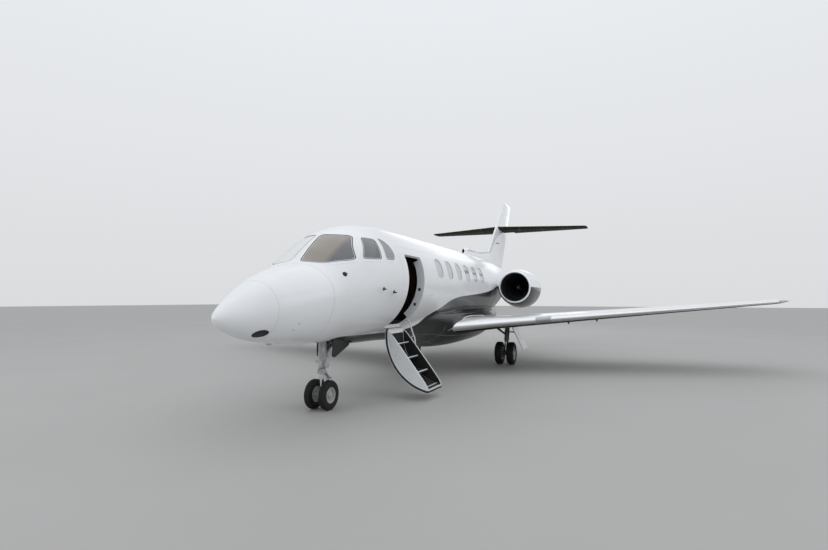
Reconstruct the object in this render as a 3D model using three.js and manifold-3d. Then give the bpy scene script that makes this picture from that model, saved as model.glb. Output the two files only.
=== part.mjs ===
import * as THREE from "three";
import { mergeVertices } from "three/addons/utils/BufferGeometryUtils.js";
import Module from "manifold-3d";

const wasm = await Module();
wasm.setup();

// A twin-engined business jet on its gear with the airstair down.
// Millimetres. The nose points to -Y, the port side to +X, the ground is Z = 0 and X = 0 is the middle.
// Lengthwise places are stations, counted aft from the tip of the nose.
const LENGTH = 15600;
const WING_SPAN = 15660;
const TAIL_SPAN = 6100;
const WALL = 55;
const SEAT_GAP = 0.3;
const MOVING_GAP = 6;
const HULL_SIDES = 28;
const ROUND_SIDES = 24;
const SMALL_SIDES = 10;
const FLOOR_LEVEL = 1190;

const at = (station) => station - LENGTH / 2;
const point = (x, station, z) => new THREE.Vector3(x, at(station), z);

// Fuselage sections from nose to tail cone.
// Columns: station, half width, top, bottom, height of the greatest width.
const HULL = [
  [0, 12, 1484, 1458, 1471],
  [25, 60, 1534, 1414, 1473],
  [90, 118, 1597, 1358, 1478],
  [220, 206, 1694, 1294, 1492],
  [450, 338, 1842, 1207, 1530],
  [750, 498, 2000, 1141, 1590],
  [1100, 640, 2130, 1086, 1665],
  [1430, 740, 2232, 1056, 1735],
  [1750, 815, 2485, 1046, 1810],
  [2100, 875, 2720, 1046, 1880],
  [2500, 925, 2880, 1056, 1950],
  [2900, 952, 2962, 1070, 2000],
  [3300, 965, 3005, 1085, 2040],
  [3600, 965, 3015, 1085, 2050],
  [8700, 965, 3015, 1085, 2050],
  [9400, 950, 3012, 1110, 2060],
  [10200, 895, 3000, 1200, 2100],
  [11200, 775, 2970, 1400, 2180],
  [12200, 600, 2920, 1700, 2290],
  [13200, 385, 2850, 2060, 2440],
  [13900, 215, 2780, 2350, 2560],
  [14300, 90, 2700, 2520, 2610],
];

// Fairing that carries the wing under the hull, with its shallow keel forward to the nose gear.
// Columns: station, half width, top, bottom, height of the greatest width.
const BELLY = [
  [2420, 150, 1250, 1030, 1150],
  [2700, 290, 1300, 965, 1160],
  [3900, 340, 1300, 935, 1170],
  [4500, 560, 1400, 905, 1260],
  [5200, 720, 1500, 835, 1320],
  [5700, 800, 1530, 720, 1300],
  [6200, 870, 1560, 610, 1285],
  [7500, 960, 1580, 565, 1275],
  [8800, 960, 1565, 585, 1280],
  [9500, 890, 1560, 700, 1310],
  [10200, 750, 1580, 930, 1380],
  [10900, 500, 1640, 1200, 1480],
  [11300, 260, 1700, 1350, 1570],
];

// Stations where the fuselage's panels meet.
const RADOME_END = 620;
const NOSE_END = 1400;
const COCKPIT_END = 3120;
const CABIN_END = 9000;
const REAR_ROOM_END = 13600;
const TAIL_END = 14300;
const ROOM_FRONT = 450;

const DOOR = { front: 3330, back: 4020, sill: 1200, head: 2476 };
const STAIR_HINGE = { x: 490, z: 1190 };
const STAIR_SWING = 126;
const CABIN_WINDOW = {
  first: 4900,
  pitch: 610,
  count: 6,
  width: 320,
  height: 370,
  middle: 2325,
  corner: 110,
};

// Windscreen half seen from the front, as [x, z], and the two side panes as [station, z].
const WINDSCREEN = [[80, 2242], [456, 2212], [732, 2282], [462, 2695], [32, 2706]];
const SIDE_PANES = [
  [[2112, 2310], [2545, 2329], [2671, 2667], [2401, 2676]],
  [[2671, 2338], [2912, 2344], [2972, 2450], [2958, 2571], [2860, 2680], [2789, 2701]],
];

// Wing, tail and fin sections.
// Columns: distance along the span, leading edge, trailing edge, offset, thickness ratio.
// The offset is the height of a wing or tail section, or the sideways place of a fin section.
const WING = [
  [700, 5930, 9533, 1092, 0.104],
  [1450, 6820, 9665, 1143, 0.108],
  [4300, 8034, 10167, 1386, 0.096],
  [7560, 9425, 10741, 1663, 0.086],
  [WING_SPAN / 2, 9640, 10700, 1688, 0.05],
];
const TAILPLANE = [
  [20, 13250, 15010, 4350, 0.1],
  [2920, 14560, 15370, 4426, 0.09],
  [TAIL_SPAN / 2, 14700, 15330, 4431, 0.05],
];
const FIN = [
  [2700, 11250, 13890, 0, 0.095],
  [3330, 12000, 14290, 0, 0.095],
  [4350, 13160, 14930, 0, 0.095],
  [5400, 14380, 15560, 0, 0.09],
  [5510, 14620, LENGTH, 0, 0.05],
];

// Hinged surfaces. Inner and outer are distances along the span; the hinge stations are at those ends.
const FLAP = { inner: 1180, outer: 4320, innerHinge: 8900, outerHinge: 9640 };
const AILERON = { inner: 5150, outer: 7450, innerHinge: 9900, outerHinge: 10360 };
const ELEVATOR = { inner: 430, outer: 2880, innerHinge: 14494, outerHinge: 15085 };
const RUDDER = { inner: 3020, outer: 5340, innerHinge: 13520, outerHinge: 15080 };
const HINGE_NOSE = 1.05;

// Engines, each in a nacelle on a pylon.
const NACELLE = { x: 1520, z: 2050, front: 9150 };
const ENGINE = { radius: 340, front: 9880, back: 11240 };
const FAN = { front: 9720, back: 9860, radius: 352, hub: 120, blades: 14 };

// Landing gear. Tyre sizes are diameter by width.
const NOSE_GEAR = { station: 2180, tyre: 457, width: 108, half: 130, rim: 122, axle: 24 };
const MAIN_GEAR = { station: 8590, x: 1395, tyre: 584, width: 178, half: 155, rim: 165, axle: 32 };
const NOSE_BAY = { halfWidth: 150, front: 2070, middle: 2390, back: 2760, roof: 1420, lowRoof: 1180 };
const MAIN_BAY = { inner: 940, outer: 1570, front: 8400, back: 8780, roof: 1100 };

// Flat round pads where the aircraft is jacked, and the towing lug on the nose gear.
const NOSE_JACK = { station: 950, z: 1090, radius: 35 };
const WING_JACK = { x: 2300, station: 8300, z: 1072, radius: 45 };
const TOW_LUG = { front: 2088, halfWidth: 26, halfHeight: 22 };

const paint = (colour, roughness = 0.3, metalness = 0) =>
  new THREE.MeshStandardMaterial({ color: colour, roughness, metalness });
const FINISH = {
  white: paint(0xe4e7ea, 0.22),
  charcoal: paint(0x2f3336, 0.3),
  glass: paint(0x38424a, 0.05),
  shade: paint(0xd9d8d2, 0.6),
  lining: paint(0xa8a49c, 0.7),
  leather: paint(0xb9a88c, 0.5),
  panel: paint(0x202224, 0.6),
  gear: paint(0xb9bdc0, 0.35, 0.2),
  hub: paint(0xcfd1d2, 0.3, 0.4),
  rubber: paint(0x1b1b1b, 0.85),
  tread: paint(0x3a3a3b, 0.9),
  engine: paint(0x6a6b6c, 0.45, 0.8),
};

// Solid from a closed geometry, and back.
function solid(geometry) {
  const bare = geometry.clone();
  bare.deleteAttribute("normal");
  bare.deleteAttribute("uv");
  const merged = mergeVertices(bare, 1e-3);
  return new wasm.Manifold(
    new wasm.Mesh({
      numProp: 3,
      vertProperties: merged.attributes.position.array,
      triVerts: new Uint32Array(merged.index.array),
    }),
  );
}

function geometryOf(body) {
  const mesh = body.getMesh();
  const positions = new Float32Array(mesh.numVert * 3);
  for (let i = 0; i < mesh.numVert; i++)
    positions.set(mesh.vertProperties.subarray(i * mesh.numProp, i * mesh.numProp + 3), i * 3);
  return new THREE.BufferGeometry()
    .setAttribute("position", new THREE.BufferAttribute(positions, 3))
    .setIndex(new THREE.BufferAttribute(mesh.triVerts, 1));
}

const join = (bodies) => bodies.reduce((a, b) => a.add(b));
const cut = (body, tools) => tools.reduce((a, b) => a.subtract(b), body);

// Closed skin over a row of rings with equal counts of points, alike on both sides of the middle.
// Its faces are turned outwards by its volume.
function loft(rings) {
  const sides = rings[0].length;
  const points = rings.flat();
  const middle = (ring) => ring.reduce((sum, p) => sum.add(p), new THREE.Vector3()).divideScalar(sides);
  const faces = [];
  for (let i = 0; i + 1 < rings.length; i++)
    for (let k = 0; k < sides; k++) {
      const a = i * sides + k;
      const b = i * sides + ((k + 1) % sides);
      const across = points[a].x + points[b].x + points[a + sides].x + points[b + sides].x;
      if (across >= 0) faces.push([a, b + sides, b], [a, a + sides, b + sides]);
      else faces.push([a, a + sides, b], [b, a + sides, b + sides]);
    }
  const last = (rings.length - 1) * sides;
  points.push(middle(rings[0]), middle(rings.at(-1)));
  for (let k = 0; k < sides; k++) {
    const next = (k + 1) % sides;
    faces.push([points.length - 2, k, next], [points.length - 1, last + next, last + k]);
  }
  const volume = faces.reduce(
    (sum, [a, b, c]) => sum + points[a].dot(new THREE.Vector3().crossVectors(points[b], points[c])),
    0,
  );
  const index = faces.flatMap(([a, b, c]) => (volume > 0 ? [a, b, c] : [a, c, b]));
  return solid(new THREE.BufferGeometry().setFromPoints(points).setIndex(index));
}

function box([x0, station0, z0], [x1, station1, z1]) {
  const geometry = new THREE.BoxGeometry(x1 - x0, station1 - station0, z1 - z0);
  geometry.translate((x0 + x1) / 2, at((station0 + station1) / 2), (z0 + z1) / 2);
  return solid(geometry);
}

// Round bar from one point to another, with a radius at each end.
function bar(from, to, radius, endRadius = radius, sides = SMALL_SIDES) {
  const along = new THREE.Vector3().subVectors(to, from);
  const geometry = new THREE.CylinderGeometry(endRadius, radius, along.length(), sides);
  const upright = new THREE.Vector3(0, 1, 0);
  const turn = new THREE.Quaternion().setFromUnitVectors(upright, along.clone().normalize());
  geometry.applyQuaternion(turn);
  geometry.translate(...from.clone().add(to).divideScalar(2));
  return solid(geometry);
}

// Plates cut from an outline: across the hull, seen from the side, or along it, seen from the front.
function sidePlate(outline, x0, x1) {
  const geometry = new THREE.ExtrudeGeometry(outline, {
    depth: x1 - x0,
    bevelEnabled: false,
    curveSegments: 2,
  });
  const turn = new THREE.Matrix4().makeBasis(
    new THREE.Vector3(0, 1, 0),
    new THREE.Vector3(0, 0, 1),
    new THREE.Vector3(1, 0, 0),
  );
  geometry.applyMatrix4(turn);
  geometry.translate(x0, 0, 0);
  return solid(geometry);
}

function frontPlate(outline, station0, station1) {
  const geometry = new THREE.ExtrudeGeometry(outline, {
    depth: station1 - station0,
    bevelEnabled: false,
  });
  const turn = new THREE.Matrix4().makeBasis(
    new THREE.Vector3(1, 0, 0),
    new THREE.Vector3(0, 0, 1),
    new THREE.Vector3(0, -1, 0),
  );
  geometry.applyMatrix4(turn);
  geometry.translate(0, at(station1), 0);
  return solid(geometry);
}

const sideOutline = (points) =>
  new THREE.Shape(points.map(([station, z]) => new THREE.Vector2(at(station), z)));
const frontOutline = (points) => new THREE.Shape(points.map(([x, z]) => new THREE.Vector2(x, z)));

// Outline shrunk towards its middle by about the given amount.
function shrunk(points, amount) {
  const middle = [0, 1].map((i) => points.reduce((sum, p) => sum + p[i], 0) / points.length);
  return points.map((p) => {
    const reach = Math.hypot(p[0] - middle[0], p[1] - middle[1]);
    return p.map((value, i) => value + ((middle[i] - value) * amount) / reach);
  });
}

function roundedWindow(station, grow) {
  const width = CABIN_WINDOW.width + 2 * grow;
  const height = CABIN_WINDOW.height + 2 * grow;
  const corner = CABIN_WINDOW.corner;
  const y = at(station) - width / 2;
  const z = CABIN_WINDOW.middle - height / 2;
  const outline = new THREE.Shape();
  outline.moveTo(y + corner, z);
  outline.absarc(y + width - corner, z + corner, corner, -Math.PI / 2, 0);
  outline.absarc(y + width - corner, z + height - corner, corner, 0, Math.PI / 2);
  outline.absarc(y + corner, z + height - corner, corner, Math.PI / 2, Math.PI);
  outline.absarc(y + corner, z + corner, corner, Math.PI, 1.5 * Math.PI);
  return outline;
}

// Solid of revolution about a line along Y or X, from a profile of [distance along, radius].
function turned(profile, centre, axis, segments) {
  const geometry = new THREE.LatheGeometry(
    profile.map(([along, radius]) => new THREE.Vector2(radius, along)),
    segments,
  );
  if (axis === "x") geometry.rotateZ(-Math.PI / 2);
  geometry.translate(...centre);
  const made = solid(geometry);
  if (made.volume() > 0) return made;
  return solid(new THREE.BufferGeometry().copy(geometry).setIndex([...geometry.index.array].reverse()));
}

// Body of oval rings about a middle line, one ring a table row, all moved inwards by the inset.
function ovalBody(table, inset = 0, sides = HULL_SIDES, middle = 0) {
  return loft(
    table.map(([station, halfWidth, top, bottom, level]) =>
      Array.from({ length: sides }, (_, k) => {
        const angle = (k * 2 * Math.PI) / sides;
        const height = Math.sin(angle) > 0 ? top - inset - level : level - bottom - inset;
        const x = middle + (halfWidth - inset) * Math.cos(angle);
        return point(x, station, level + height * Math.sin(angle));
      }),
    ),
  );
}

// Section of a flying surface: a thin teardrop, thickest at 30% of its chord.
const CHORD_POINTS = [0, 0.012, 0.05, 0.12, 0.25, 0.42, 0.6, 0.78, 1];
const halfAt = (ratio, c) =>
  5 * ratio * (0.2969 * Math.sqrt(c) - 0.126 * c - 0.3516 * c ** 2 + 0.2843 * c ** 3 - 0.1015 * c ** 4);
function teardrop(ratio) {
  const upper = CHORD_POINTS.map((c) => [c, halfAt(ratio, c)]);
  const lower = CHORD_POINTS.slice(1).map((c) => [c, -halfAt(ratio, c)]);
  return [...upper, ...lower.reverse()];
}

// Flying surface from its table. Upright for a fin, level for a wing; grow thickens it all over.
function surface(table, upright, grow = 0) {
  return loft(
    table.map(([span, front, back, offset, ratio]) =>
      teardrop(ratio).map(([c, thick]) => {
        const station = front - grow + c * (back - front + 2 * grow);
        const out = thick * (back - front) + Math.sign(thick) * grow;
        return upright ? point(offset + out, station, span) : point(span, station, offset + out);
      }),
    ),
  );
}

// Row of a surface's table at any distance along its span.
function rowAt(table, span) {
  const i = Math.max(1, table.findIndex((row) => row[0] >= span));
  const t = (span - table[i - 1][0]) / (table[i][0] - table[i - 1][0]);
  return table[i].map((value, column) => THREE.MathUtils.lerp(table[i - 1][column], value, t));
}

// Ends of a hinge line, inner first, each with the radius of the moving surface's round nose there.
function hingeLine(hinged, table, upright) {
  return [
    [hinged.inner, hinged.innerHinge],
    [hinged.outer, hinged.outerHinge],
  ].map(([span, station]) => {
    const [, front, back, offset, ratio] = rowAt(table, span);
    const chord = back - front;
    const radius = HINGE_NOSE * chord * halfAt(ratio, (station - front) / chord);
    return { place: upright ? point(0, station, span) : point(span, station, offset), radius };
  });
}

// Space behind a hinge line with a round nose on it, lengthened at both ends by the margin.
function behindHinge(hinges, upright, margin) {
  const [{ place: inner, radius }, { place: outer, radius: outerRadius }] = hinges;
  const along = new THREE.Vector3().subVectors(outer, inner).normalize();
  const side = upright ? new THREE.Vector3(1, 0, 0) : new THREE.Vector3(0, 0, 1);
  const aft = new THREE.Vector3().crossVectors(side, along).normalize();
  if (aft.y < 0) aft.negate();
  const normal = new THREE.Vector3().crossVectors(along, aft);
  const length = inner.distanceTo(outer) + 2 * margin;
  const reach = 1500;
  const geometry = new THREE.BoxGeometry(length, reach, 900);
  geometry.translate(length / 2 - margin, reach / 2, 0);
  geometry.applyMatrix4(new THREE.Matrix4().makeBasis(along, aft, normal).setPosition(inner));
  const from = inner.clone().addScaledVector(along, -margin);
  const to = outer.clone().addScaledVector(along, margin);
  const round = bar(from, to, radius + margin, outerRadius + margin, ROUND_SIDES);
  return solid(geometry).add(round);
}

// Splits a hinged surface off its carrier: returns the carrier with its cove, and the moving surface.
function hingeOff(body, hinged, table, upright) {
  const line = hingeLine(hinged, table, upright);
  const carrier = body.subtract(behindHinge(line, upright, MOVING_GAP));
  const moving = body.intersect(behindHinge(line, upright, 0));
  return [carrier, moving];
}

// Pins on the hinge line that hold a moving surface's ends to its carrier.
function hingePins(hinged, table, upright, radius) {
  const [inner, outer] = hingeLine(hinged, table, upright).map(({ place }) => place);
  const along = new THREE.Vector3().subVectors(outer, inner).normalize();
  const reach = MOVING_GAP - SEAT_GAP;
  return [inner, outer].map((place) =>
    bar(
      place.clone().addScaledVector(along, -reach),
      place.clone().addScaledVector(along, reach),
      radius,
    ),
  );
}

const aircraft = new THREE.Group();
const port = new THREE.Group();
const starboard = new THREE.Group();
starboard.scale.x = -1;
aircraft.add(port, starboard);

function add(name, body, finish, group = aircraft) {
  const mesh = new THREE.Mesh(geometryOf(body), finish);
  mesh.name = name;
  group.add(mesh);
}

function addPair(name, body, finish) {
  add(name + "_left", body, finish, port);
  add(name + "_right", body, finish, starboard);
}

// Fuselage: radome, nose, cockpit, cabin and tail, each a separate length of one hull.
const ROOM_ROWS = HULL.filter(([station]) => station >= ROOM_FRONT);
const hull = (inset) => ovalBody(inset > WALL / 2 ? ROOM_ROWS : HULL, inset);
const between = (body, from, to) => body.intersect(box([-2000, from, 0], [2000, to, LENGTH]));
const hullOuter = hull(0);
const hullRoom = hull(-SEAT_GAP);
const hullInner = hull(WALL);
const hullLining = hull(WALL + SEAT_GAP);

// Nose wheel well: deep round the leg, shallow behind it for the drag brace.
const noseWell = (grow) => {
  const { halfWidth, front, middle, back, roof, lowRoof } = NOSE_BAY;
  const x = halfWidth + grow;
  const part = (end, top) => box([-x, front - grow, 800], [x, end + grow, top + grow]);
  return part(middle, roof).add(part(back, lowRoof));
};
add("nose_cone", between(hullOuter, -1, RADOME_END - SEAT_GAP), FINISH.white);
const noseSection = between(hullOuter, RADOME_END, NOSE_END - SEAT_GAP);
const nosePad = bar(
  point(0, NOSE_JACK.station, NOSE_JACK.z),
  point(0, NOSE_JACK.station, 1180),
  NOSE_JACK.radius,
);
add("nose_section", noseSection.add(nosePad), FINISH.white);

const both = (tool) => [tool, solid(mirrored(geometryOf(tool)))];
function mirrored(geometry) {
  const copy = geometry.clone().scale(-1, 1, 1);
  copy.setIndex([...copy.index.array].reverse());
  return copy;
}

const cockpitHoles = (grow) => [
  frontPlate(frontOutline(shrunk(WINDSCREEN, -grow)), 1300, 2600),
  ...SIDE_PANES.map((pane) => sidePlate(sideOutline(shrunk(pane, -grow)), 400, 1100)),
];
const cockpitRoom = between(hullInner, NOSE_END + WALL, COCKPIT_END + 1);
const cockpitShell = cut(between(hullOuter, NOSE_END, COCKPIT_END - SEAT_GAP), [
  cockpitRoom.subtract(noseWell(WALL)),
  noseWell(0),
  ...cockpitHoles(0).flatMap(both),
]);
add("cockpit_shell", cockpitShell, FINISH.white);

const cabinWindows = (grow) =>
  Array.from({ length: CABIN_WINDOW.count }, (_, i) =>
    sidePlate(roundedWindow(CABIN_WINDOW.first + i * CABIN_WINDOW.pitch, grow), 700, 1100),
  );
const doorway = box([300, DOOR.front, DOOR.sill], [1100, DOOR.back, DOOR.head]);
const cabinShell = cut(between(hullOuter, COCKPIT_END, CABIN_END - SEAT_GAP), [
  hullInner,
  doorway,
  ...cabinWindows(0).flatMap(both),
]);

// Lugs under the door sill that hold the airstair's hinge.
const HINGE = { radius: 14, lug: 60, leaf: 140 };
const lugOutline = [
  [352, 1172],
  [352, 1180],
  [462, 1196],
  [490, 1203],
  [503, 1190],
  [490, 1177],
  [440, 1170],
];
const hingeLug = (from, to) =>
  frontPlate(frontOutline(lugOutline), from, to).add(
    bar(
      point(STAIR_HINGE.x, from, STAIR_HINGE.z),
      point(STAIR_HINGE.x, to, STAIR_HINGE.z),
      HINGE.radius,
    ),
  );
const lugs = [
  hingeLug(DOOR.front + HINGE.leaf - SEAT_GAP - HINGE.lug, DOOR.front + HINGE.leaf - SEAT_GAP),
  hingeLug(DOOR.back - HINGE.leaf + SEAT_GAP, DOOR.back - HINGE.leaf + SEAT_GAP + HINGE.lug),
];
add("cabin_shell", join([cabinShell, ...lugs]), FINISH.white);

const rearRoom = between(hullInner, CABIN_END - 1, REAR_ROOM_END);
add("rear_fuselage", between(hullOuter, CABIN_END, TAIL_END + 1).subtract(rearRoom), FINISH.white);

// Glazing: panes let into the shell from inside, held by a thin retainer along the wall.
const layer = (from, to, outer, inner) => between(hull(outer).subtract(hull(inner)), from, to);
const RETAINER = 8;
const paneBody = (holes, from, to, retainer) => {
  const panes = layer(from, to, 4, WALL + RETAINER).intersect(join(holes));
  return panes.add(layer(from, to, WALL + SEAT_GAP, WALL + RETAINER).intersect(retainer));
};
const cockpitRetainer = sidePlate(
  sideOutline([[1900, 2270], [2990, 2300], [2990, 2480], [2880, 2740], [2200, 2740]]),
  60,
  1000,
);
const glazing = paneBody(cockpitHoles(-SEAT_GAP), NOSE_END + 60, COCKPIT_END - 40, cockpitRetainer);
addPair("cockpit_glazing", glazing, FINISH.glass);

const BELT = { front: 4700, back: 8160, low: 2100, high: 2550 };
const belt = box([600, BELT.front, BELT.low], [1000, BELT.back, BELT.high]);
addPair("cabin_glazing", paneBody(cabinWindows(-SEAT_GAP), BELT.front, BELT.back, belt), FINISH.shade);

// Inside: floor with a dropped aisle, the two bulkheads, instrument panel and crew seats.
const insideHull = (from, to) => between(hullLining, from, to);
const RAISED_FLOOR = 1300;
const AISLE = { halfWidth: 240, front: 2750, back: 8600 };
const ENTRY = { front: 3230, back: 4120 };
const floor = cut(insideHull(2450, CABIN_END - 60), [
  box([-1000, 2400, RAISED_FLOOR], [1000, CABIN_END, 3200]),
  box([-AISLE.halfWidth, AISLE.front, FLOOR_LEVEL], [AISLE.halfWidth, AISLE.back, 3200]),
  box([-1000, ENTRY.front, FLOOR_LEVEL], [1000, ENTRY.back, 3200]),
  noseWell(WALL + SEAT_GAP),
]);
add("cabin_floor", floor, FINISH.lining);

const BULKHEAD = 40;
const DOORWAY_INSIDE = { halfWidth: 230, head: 2750 };
const bulkhead = (station) =>
  cut(insideHull(station, station + BULKHEAD), [
    box([-1000, station - 1, 1000], [1000, station + BULKHEAD + 1, RAISED_FLOOR + SEAT_GAP]),
    box(
      [-DOORWAY_INSIDE.halfWidth, station - 1, 1000],
      [DOORWAY_INSIDE.halfWidth, station + BULKHEAD + 1, DOORWAY_INSIDE.head],
    ),
  ]);
add("cockpit_bulkhead", bulkhead(ENTRY.front - BULKHEAD - 10), FINISH.lining);
add("cabin_bulkhead", bulkhead(ENTRY.back + 10), FINISH.lining);

const glareShield = [
  [1640, 2130],
  [1960, 2210],
  [2010, 2190],
  [1980, 1900],
  [1850, 1780],
  [1640, 1780],
];
const panelSlab = sidePlate(sideOutline(glareShield), -760, 760).intersect(hullLining);
const PEDESTAL = { halfWidth: 90, back: 2560, top: 1760 };
const pedestalBlock = (front, low, high) =>
  box([-PEDESTAL.halfWidth, front, low], [PEDESTAL.halfWidth, PEDESTAL.back, high]);
const pedestal = pedestalBlock(1860, 1700, PEDESTAL.top + 40).add(
  pedestalBlock(2455, RAISED_FLOOR + SEAT_GAP, PEDESTAL.top),
);
add("instrument_panel", panelSlab.add(pedestal), FINISH.panel);

const CREW_SEAT = { x: 400, halfWidth: 230, front: 2500, back: 2960, cushion: 1680, top: 2260 };
const seat = join([
  box(
    [CREW_SEAT.x - CREW_SEAT.halfWidth, CREW_SEAT.front, CREW_SEAT.cushion - 110],
    [CREW_SEAT.x + CREW_SEAT.halfWidth, CREW_SEAT.back, CREW_SEAT.cushion],
  ),
  box(
    [CREW_SEAT.x - CREW_SEAT.halfWidth, CREW_SEAT.back - 110, CREW_SEAT.cushion - 60],
    [CREW_SEAT.x + CREW_SEAT.halfWidth, CREW_SEAT.back, CREW_SEAT.top],
  ),
  box(
    [CREW_SEAT.x - 110, 2880, CREW_SEAT.top - 10],
    [CREW_SEAT.x + 110, CREW_SEAT.back, CREW_SEAT.top + 170],
  ),
  box(
    [CREW_SEAT.x - 90, 2620, RAISED_FLOOR + SEAT_GAP],
    [CREW_SEAT.x + 60, 2860, CREW_SEAT.cushion - 60],
  ),
]);
addPair("crew_seat", seat, FINISH.leather);

// Belly fairing with the main wheel wells.
const bellyBody = (grow) => ovalBody(BELLY, -grow);
const mainBay = box(
  [MAIN_BAY.inner, MAIN_BAY.front, 600],
  [MAIN_BAY.outer, MAIN_BAY.back, MAIN_BAY.roof],
);
const belly = cut(bellyBody(0), [hullRoom, ...both(mainBay), noseWell(0)]);
add("belly_fairing", belly, FINISH.charcoal);

// Wings with flaps and ailerons.
const wingWhole = surface(WING, false).subtract(bellyBody(SEAT_GAP)).subtract(hullRoom);
const [wingNoFlap, flap] = hingeOff(wingWhole, FLAP, WING, false);
const [wing, aileron] = hingeOff(wingNoFlap, AILERON, WING, false);
const wingPins = [...hingePins(FLAP, WING, false, 14), ...hingePins(AILERON, WING, false, 10)];
const wingPad = bar(
  point(WING_JACK.x, WING_JACK.station, WING_JACK.z),
  point(WING_JACK.x, WING_JACK.station, WING_JACK.z + 90),
  WING_JACK.radius,
);
addPair("wing", wing.subtract(mainBay).add(wingPad), FINISH.charcoal);
addPair("flap", flap.add(wingPins[0]).add(wingPins[1]), FINISH.charcoal);
addPair("aileron", aileron.add(wingPins[2]).add(wingPins[3]), FINISH.charcoal);

// Fin with its dorsal spine and air scoop, rudder, tailplane and elevators.
const DORSAL = [
  [9300, 62, 3208, 2900, 3090],
  [9480, 80, 3232, 2900, 3085],
  [10600, 75, 3225, 2850, 3060],
  [12300, 95, 3420, 2800, 3060],
  [12600, 70, 3500, 2800, 3060],
];
const DORSAL_SIDES = 16;
const scoopMouth = box([-36, 9290, 3060], [36, 9420, 3180]);
const finWhole = surface(FIN, true)
  .add(ovalBody(DORSAL, 0, DORSAL_SIDES))
  .subtract(hullRoom)
  .subtract(scoopMouth);
const [fin, rudder] = hingeOff(finWhole, RUDDER, FIN, true);
const rudderPins = hingePins(RUDDER, FIN, true, 12);
add("fin", fin, FINISH.white);
add("rudder", rudder.add(rudderPins[0]).add(rudderPins[1]), FINISH.white);

const [tailFixed, elevator] = hingeOff(surface(TAILPLANE, false), ELEVATOR, TAILPLANE, false);
const RUDDER_ROOM = { front: 14340, halfWidth: 390, bracketBack: 14560 };
const rudderSweep = [
  box([-10, RUDDER_ROOM.front, 4200], [RUDDER_ROOM.halfWidth, 15300, 4600]),
  box([-10, RUDDER_ROOM.bracketBack, 4200], [ELEVATOR.inner - 2, 15300, 4600]),
];
const tailplane = cut(tailFixed, [surface(FIN, true, SEAT_GAP), ...rudderSweep]);
const elevatorPins = hingePins(ELEVATOR, TAILPLANE, false, 10);
addPair("tailplane", tailplane, FINISH.charcoal);
addPair("elevator", elevator.add(elevatorPins[0]).add(elevatorPins[1]), FINISH.charcoal);

// Nacelles: an open duct from the polished inlet lip to the jet pipe, deeper below than above.
// Columns: distance behind the lip, half width, reach above the middle, reach below it.
const NACELLE_OUTSIDE = [
  [0, 424, 424, 424],
  [25, 444, 444, 446],
  [110, 470, 470, 482],
  [350, 498, 502, 535],
  [750, 512, 522, 582],
  [1300, 492, 502, 575],
  [1900, 425, 425, 465],
  [2150, 382, 380, 400],
  [2550, 290, 288, 290],
];
// Columns: distance behind the lip, radius.
const DUCT = [
  [-5, 412], [0, 406], [30, 392], [200, 372], [550, 362], [705, 362], [715, ENGINE.radius + SEAT_GAP],
  [2100, ENGINE.radius + SEAT_GAP], [2200, 315], [2555, 268],
];
const nacelleRows = NACELLE_OUTSIDE.map(([along, half, above, below]) => [
  NACELLE.front + along, half, NACELLE.z + above, NACELLE.z - below, NACELLE.z,
]);
const nacelleBody = (grow) => ovalBody(nacelleRows, -grow, ROUND_SIDES, NACELLE.x);
const duct = turned(
  [[DUCT[0][0], 0], ...DUCT, [DUCT.at(-1)[0], 0]],
  [NACELLE.x, at(NACELLE.front), NACELLE.z],
  "y",
  ROUND_SIDES,
);
addPair("nacelle", nacelleBody(0).subtract(duct), FINISH.white);

const PYLON = [
  [600, 9600, 11850, 2085, 0.085],
  [1500, 9720, 11600, 2085, 0.085],
];
addPair("pylon", cut(surface(PYLON, false), [hullRoom, nacelleBody(SEAT_GAP)]), FINISH.white);

const engine = turned(
  [
    [0, 0],
    [0, ENGINE.radius],
    [ENGINE.back - ENGINE.front, ENGINE.radius],
    [ENGINE.back - ENGINE.front, 0],
  ],
  [NACELLE.x, at(ENGINE.front), NACELLE.z],
  "y",
  ROUND_SIDES,
);
const fanShaft = bar(
  new THREE.Vector3(NACELLE.x, at(FAN.back + SEAT_GAP), NACELLE.z),
  new THREE.Vector3(NACELLE.x, at(ENGINE.front + 20), NACELLE.z),
  55,
);
addPair("engine", engine.add(fanShaft), FINISH.engine);

const CONE = 90;
const hubLength = FAN.back - FAN.front + CONE;
const spinner = turned(
  [[0, 0], [40, 60], [110, 105], [180, FAN.hub], [hubLength, FAN.hub], [hubLength, 0]],
  [NACELLE.x, at(FAN.front - CONE), NACELLE.z],
  "y",
  ROUND_SIDES,
);
const blades = Array.from({ length: FAN.blades }, (_, k) => {
  const blade = new THREE.BoxGeometry(9, FAN.back - FAN.front - 30, FAN.radius - FAN.hub + 20);
  blade.translate(0, 0, (FAN.radius + FAN.hub - 20) / 2);
  blade.rotateZ(0.75);
  blade.rotateY((k * 2 * Math.PI) / FAN.blades);
  blade.translate(NACELLE.x, at((FAN.front + FAN.back) / 2), NACELLE.z);
  return solid(blade);
});
addPair("fan", join([spinner, ...blades]), FINISH.engine);

// Wheels: a tyre with a flat tread, and a pair of rims on their turning axle.
function tyre(gear, x) {
  const outer = gear.tyre / 2;
  const half = gear.width / 2;
  const profile = [
    [-0.42 * gear.width, gear.rim + SEAT_GAP],
    [-half, gear.rim + 0.35 * (outer - gear.rim)],
    [-0.45 * gear.width, gear.rim + 0.75 * (outer - gear.rim)],
    [-0.24 * gear.width, outer],
  ];
  const other = profile.map(([along, radius]) => [-along, radius]).reverse();
  return turned([...profile, ...other, profile[0]], [x, at(gear.station), outer], "x", ROUND_SIDES);
}

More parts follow.
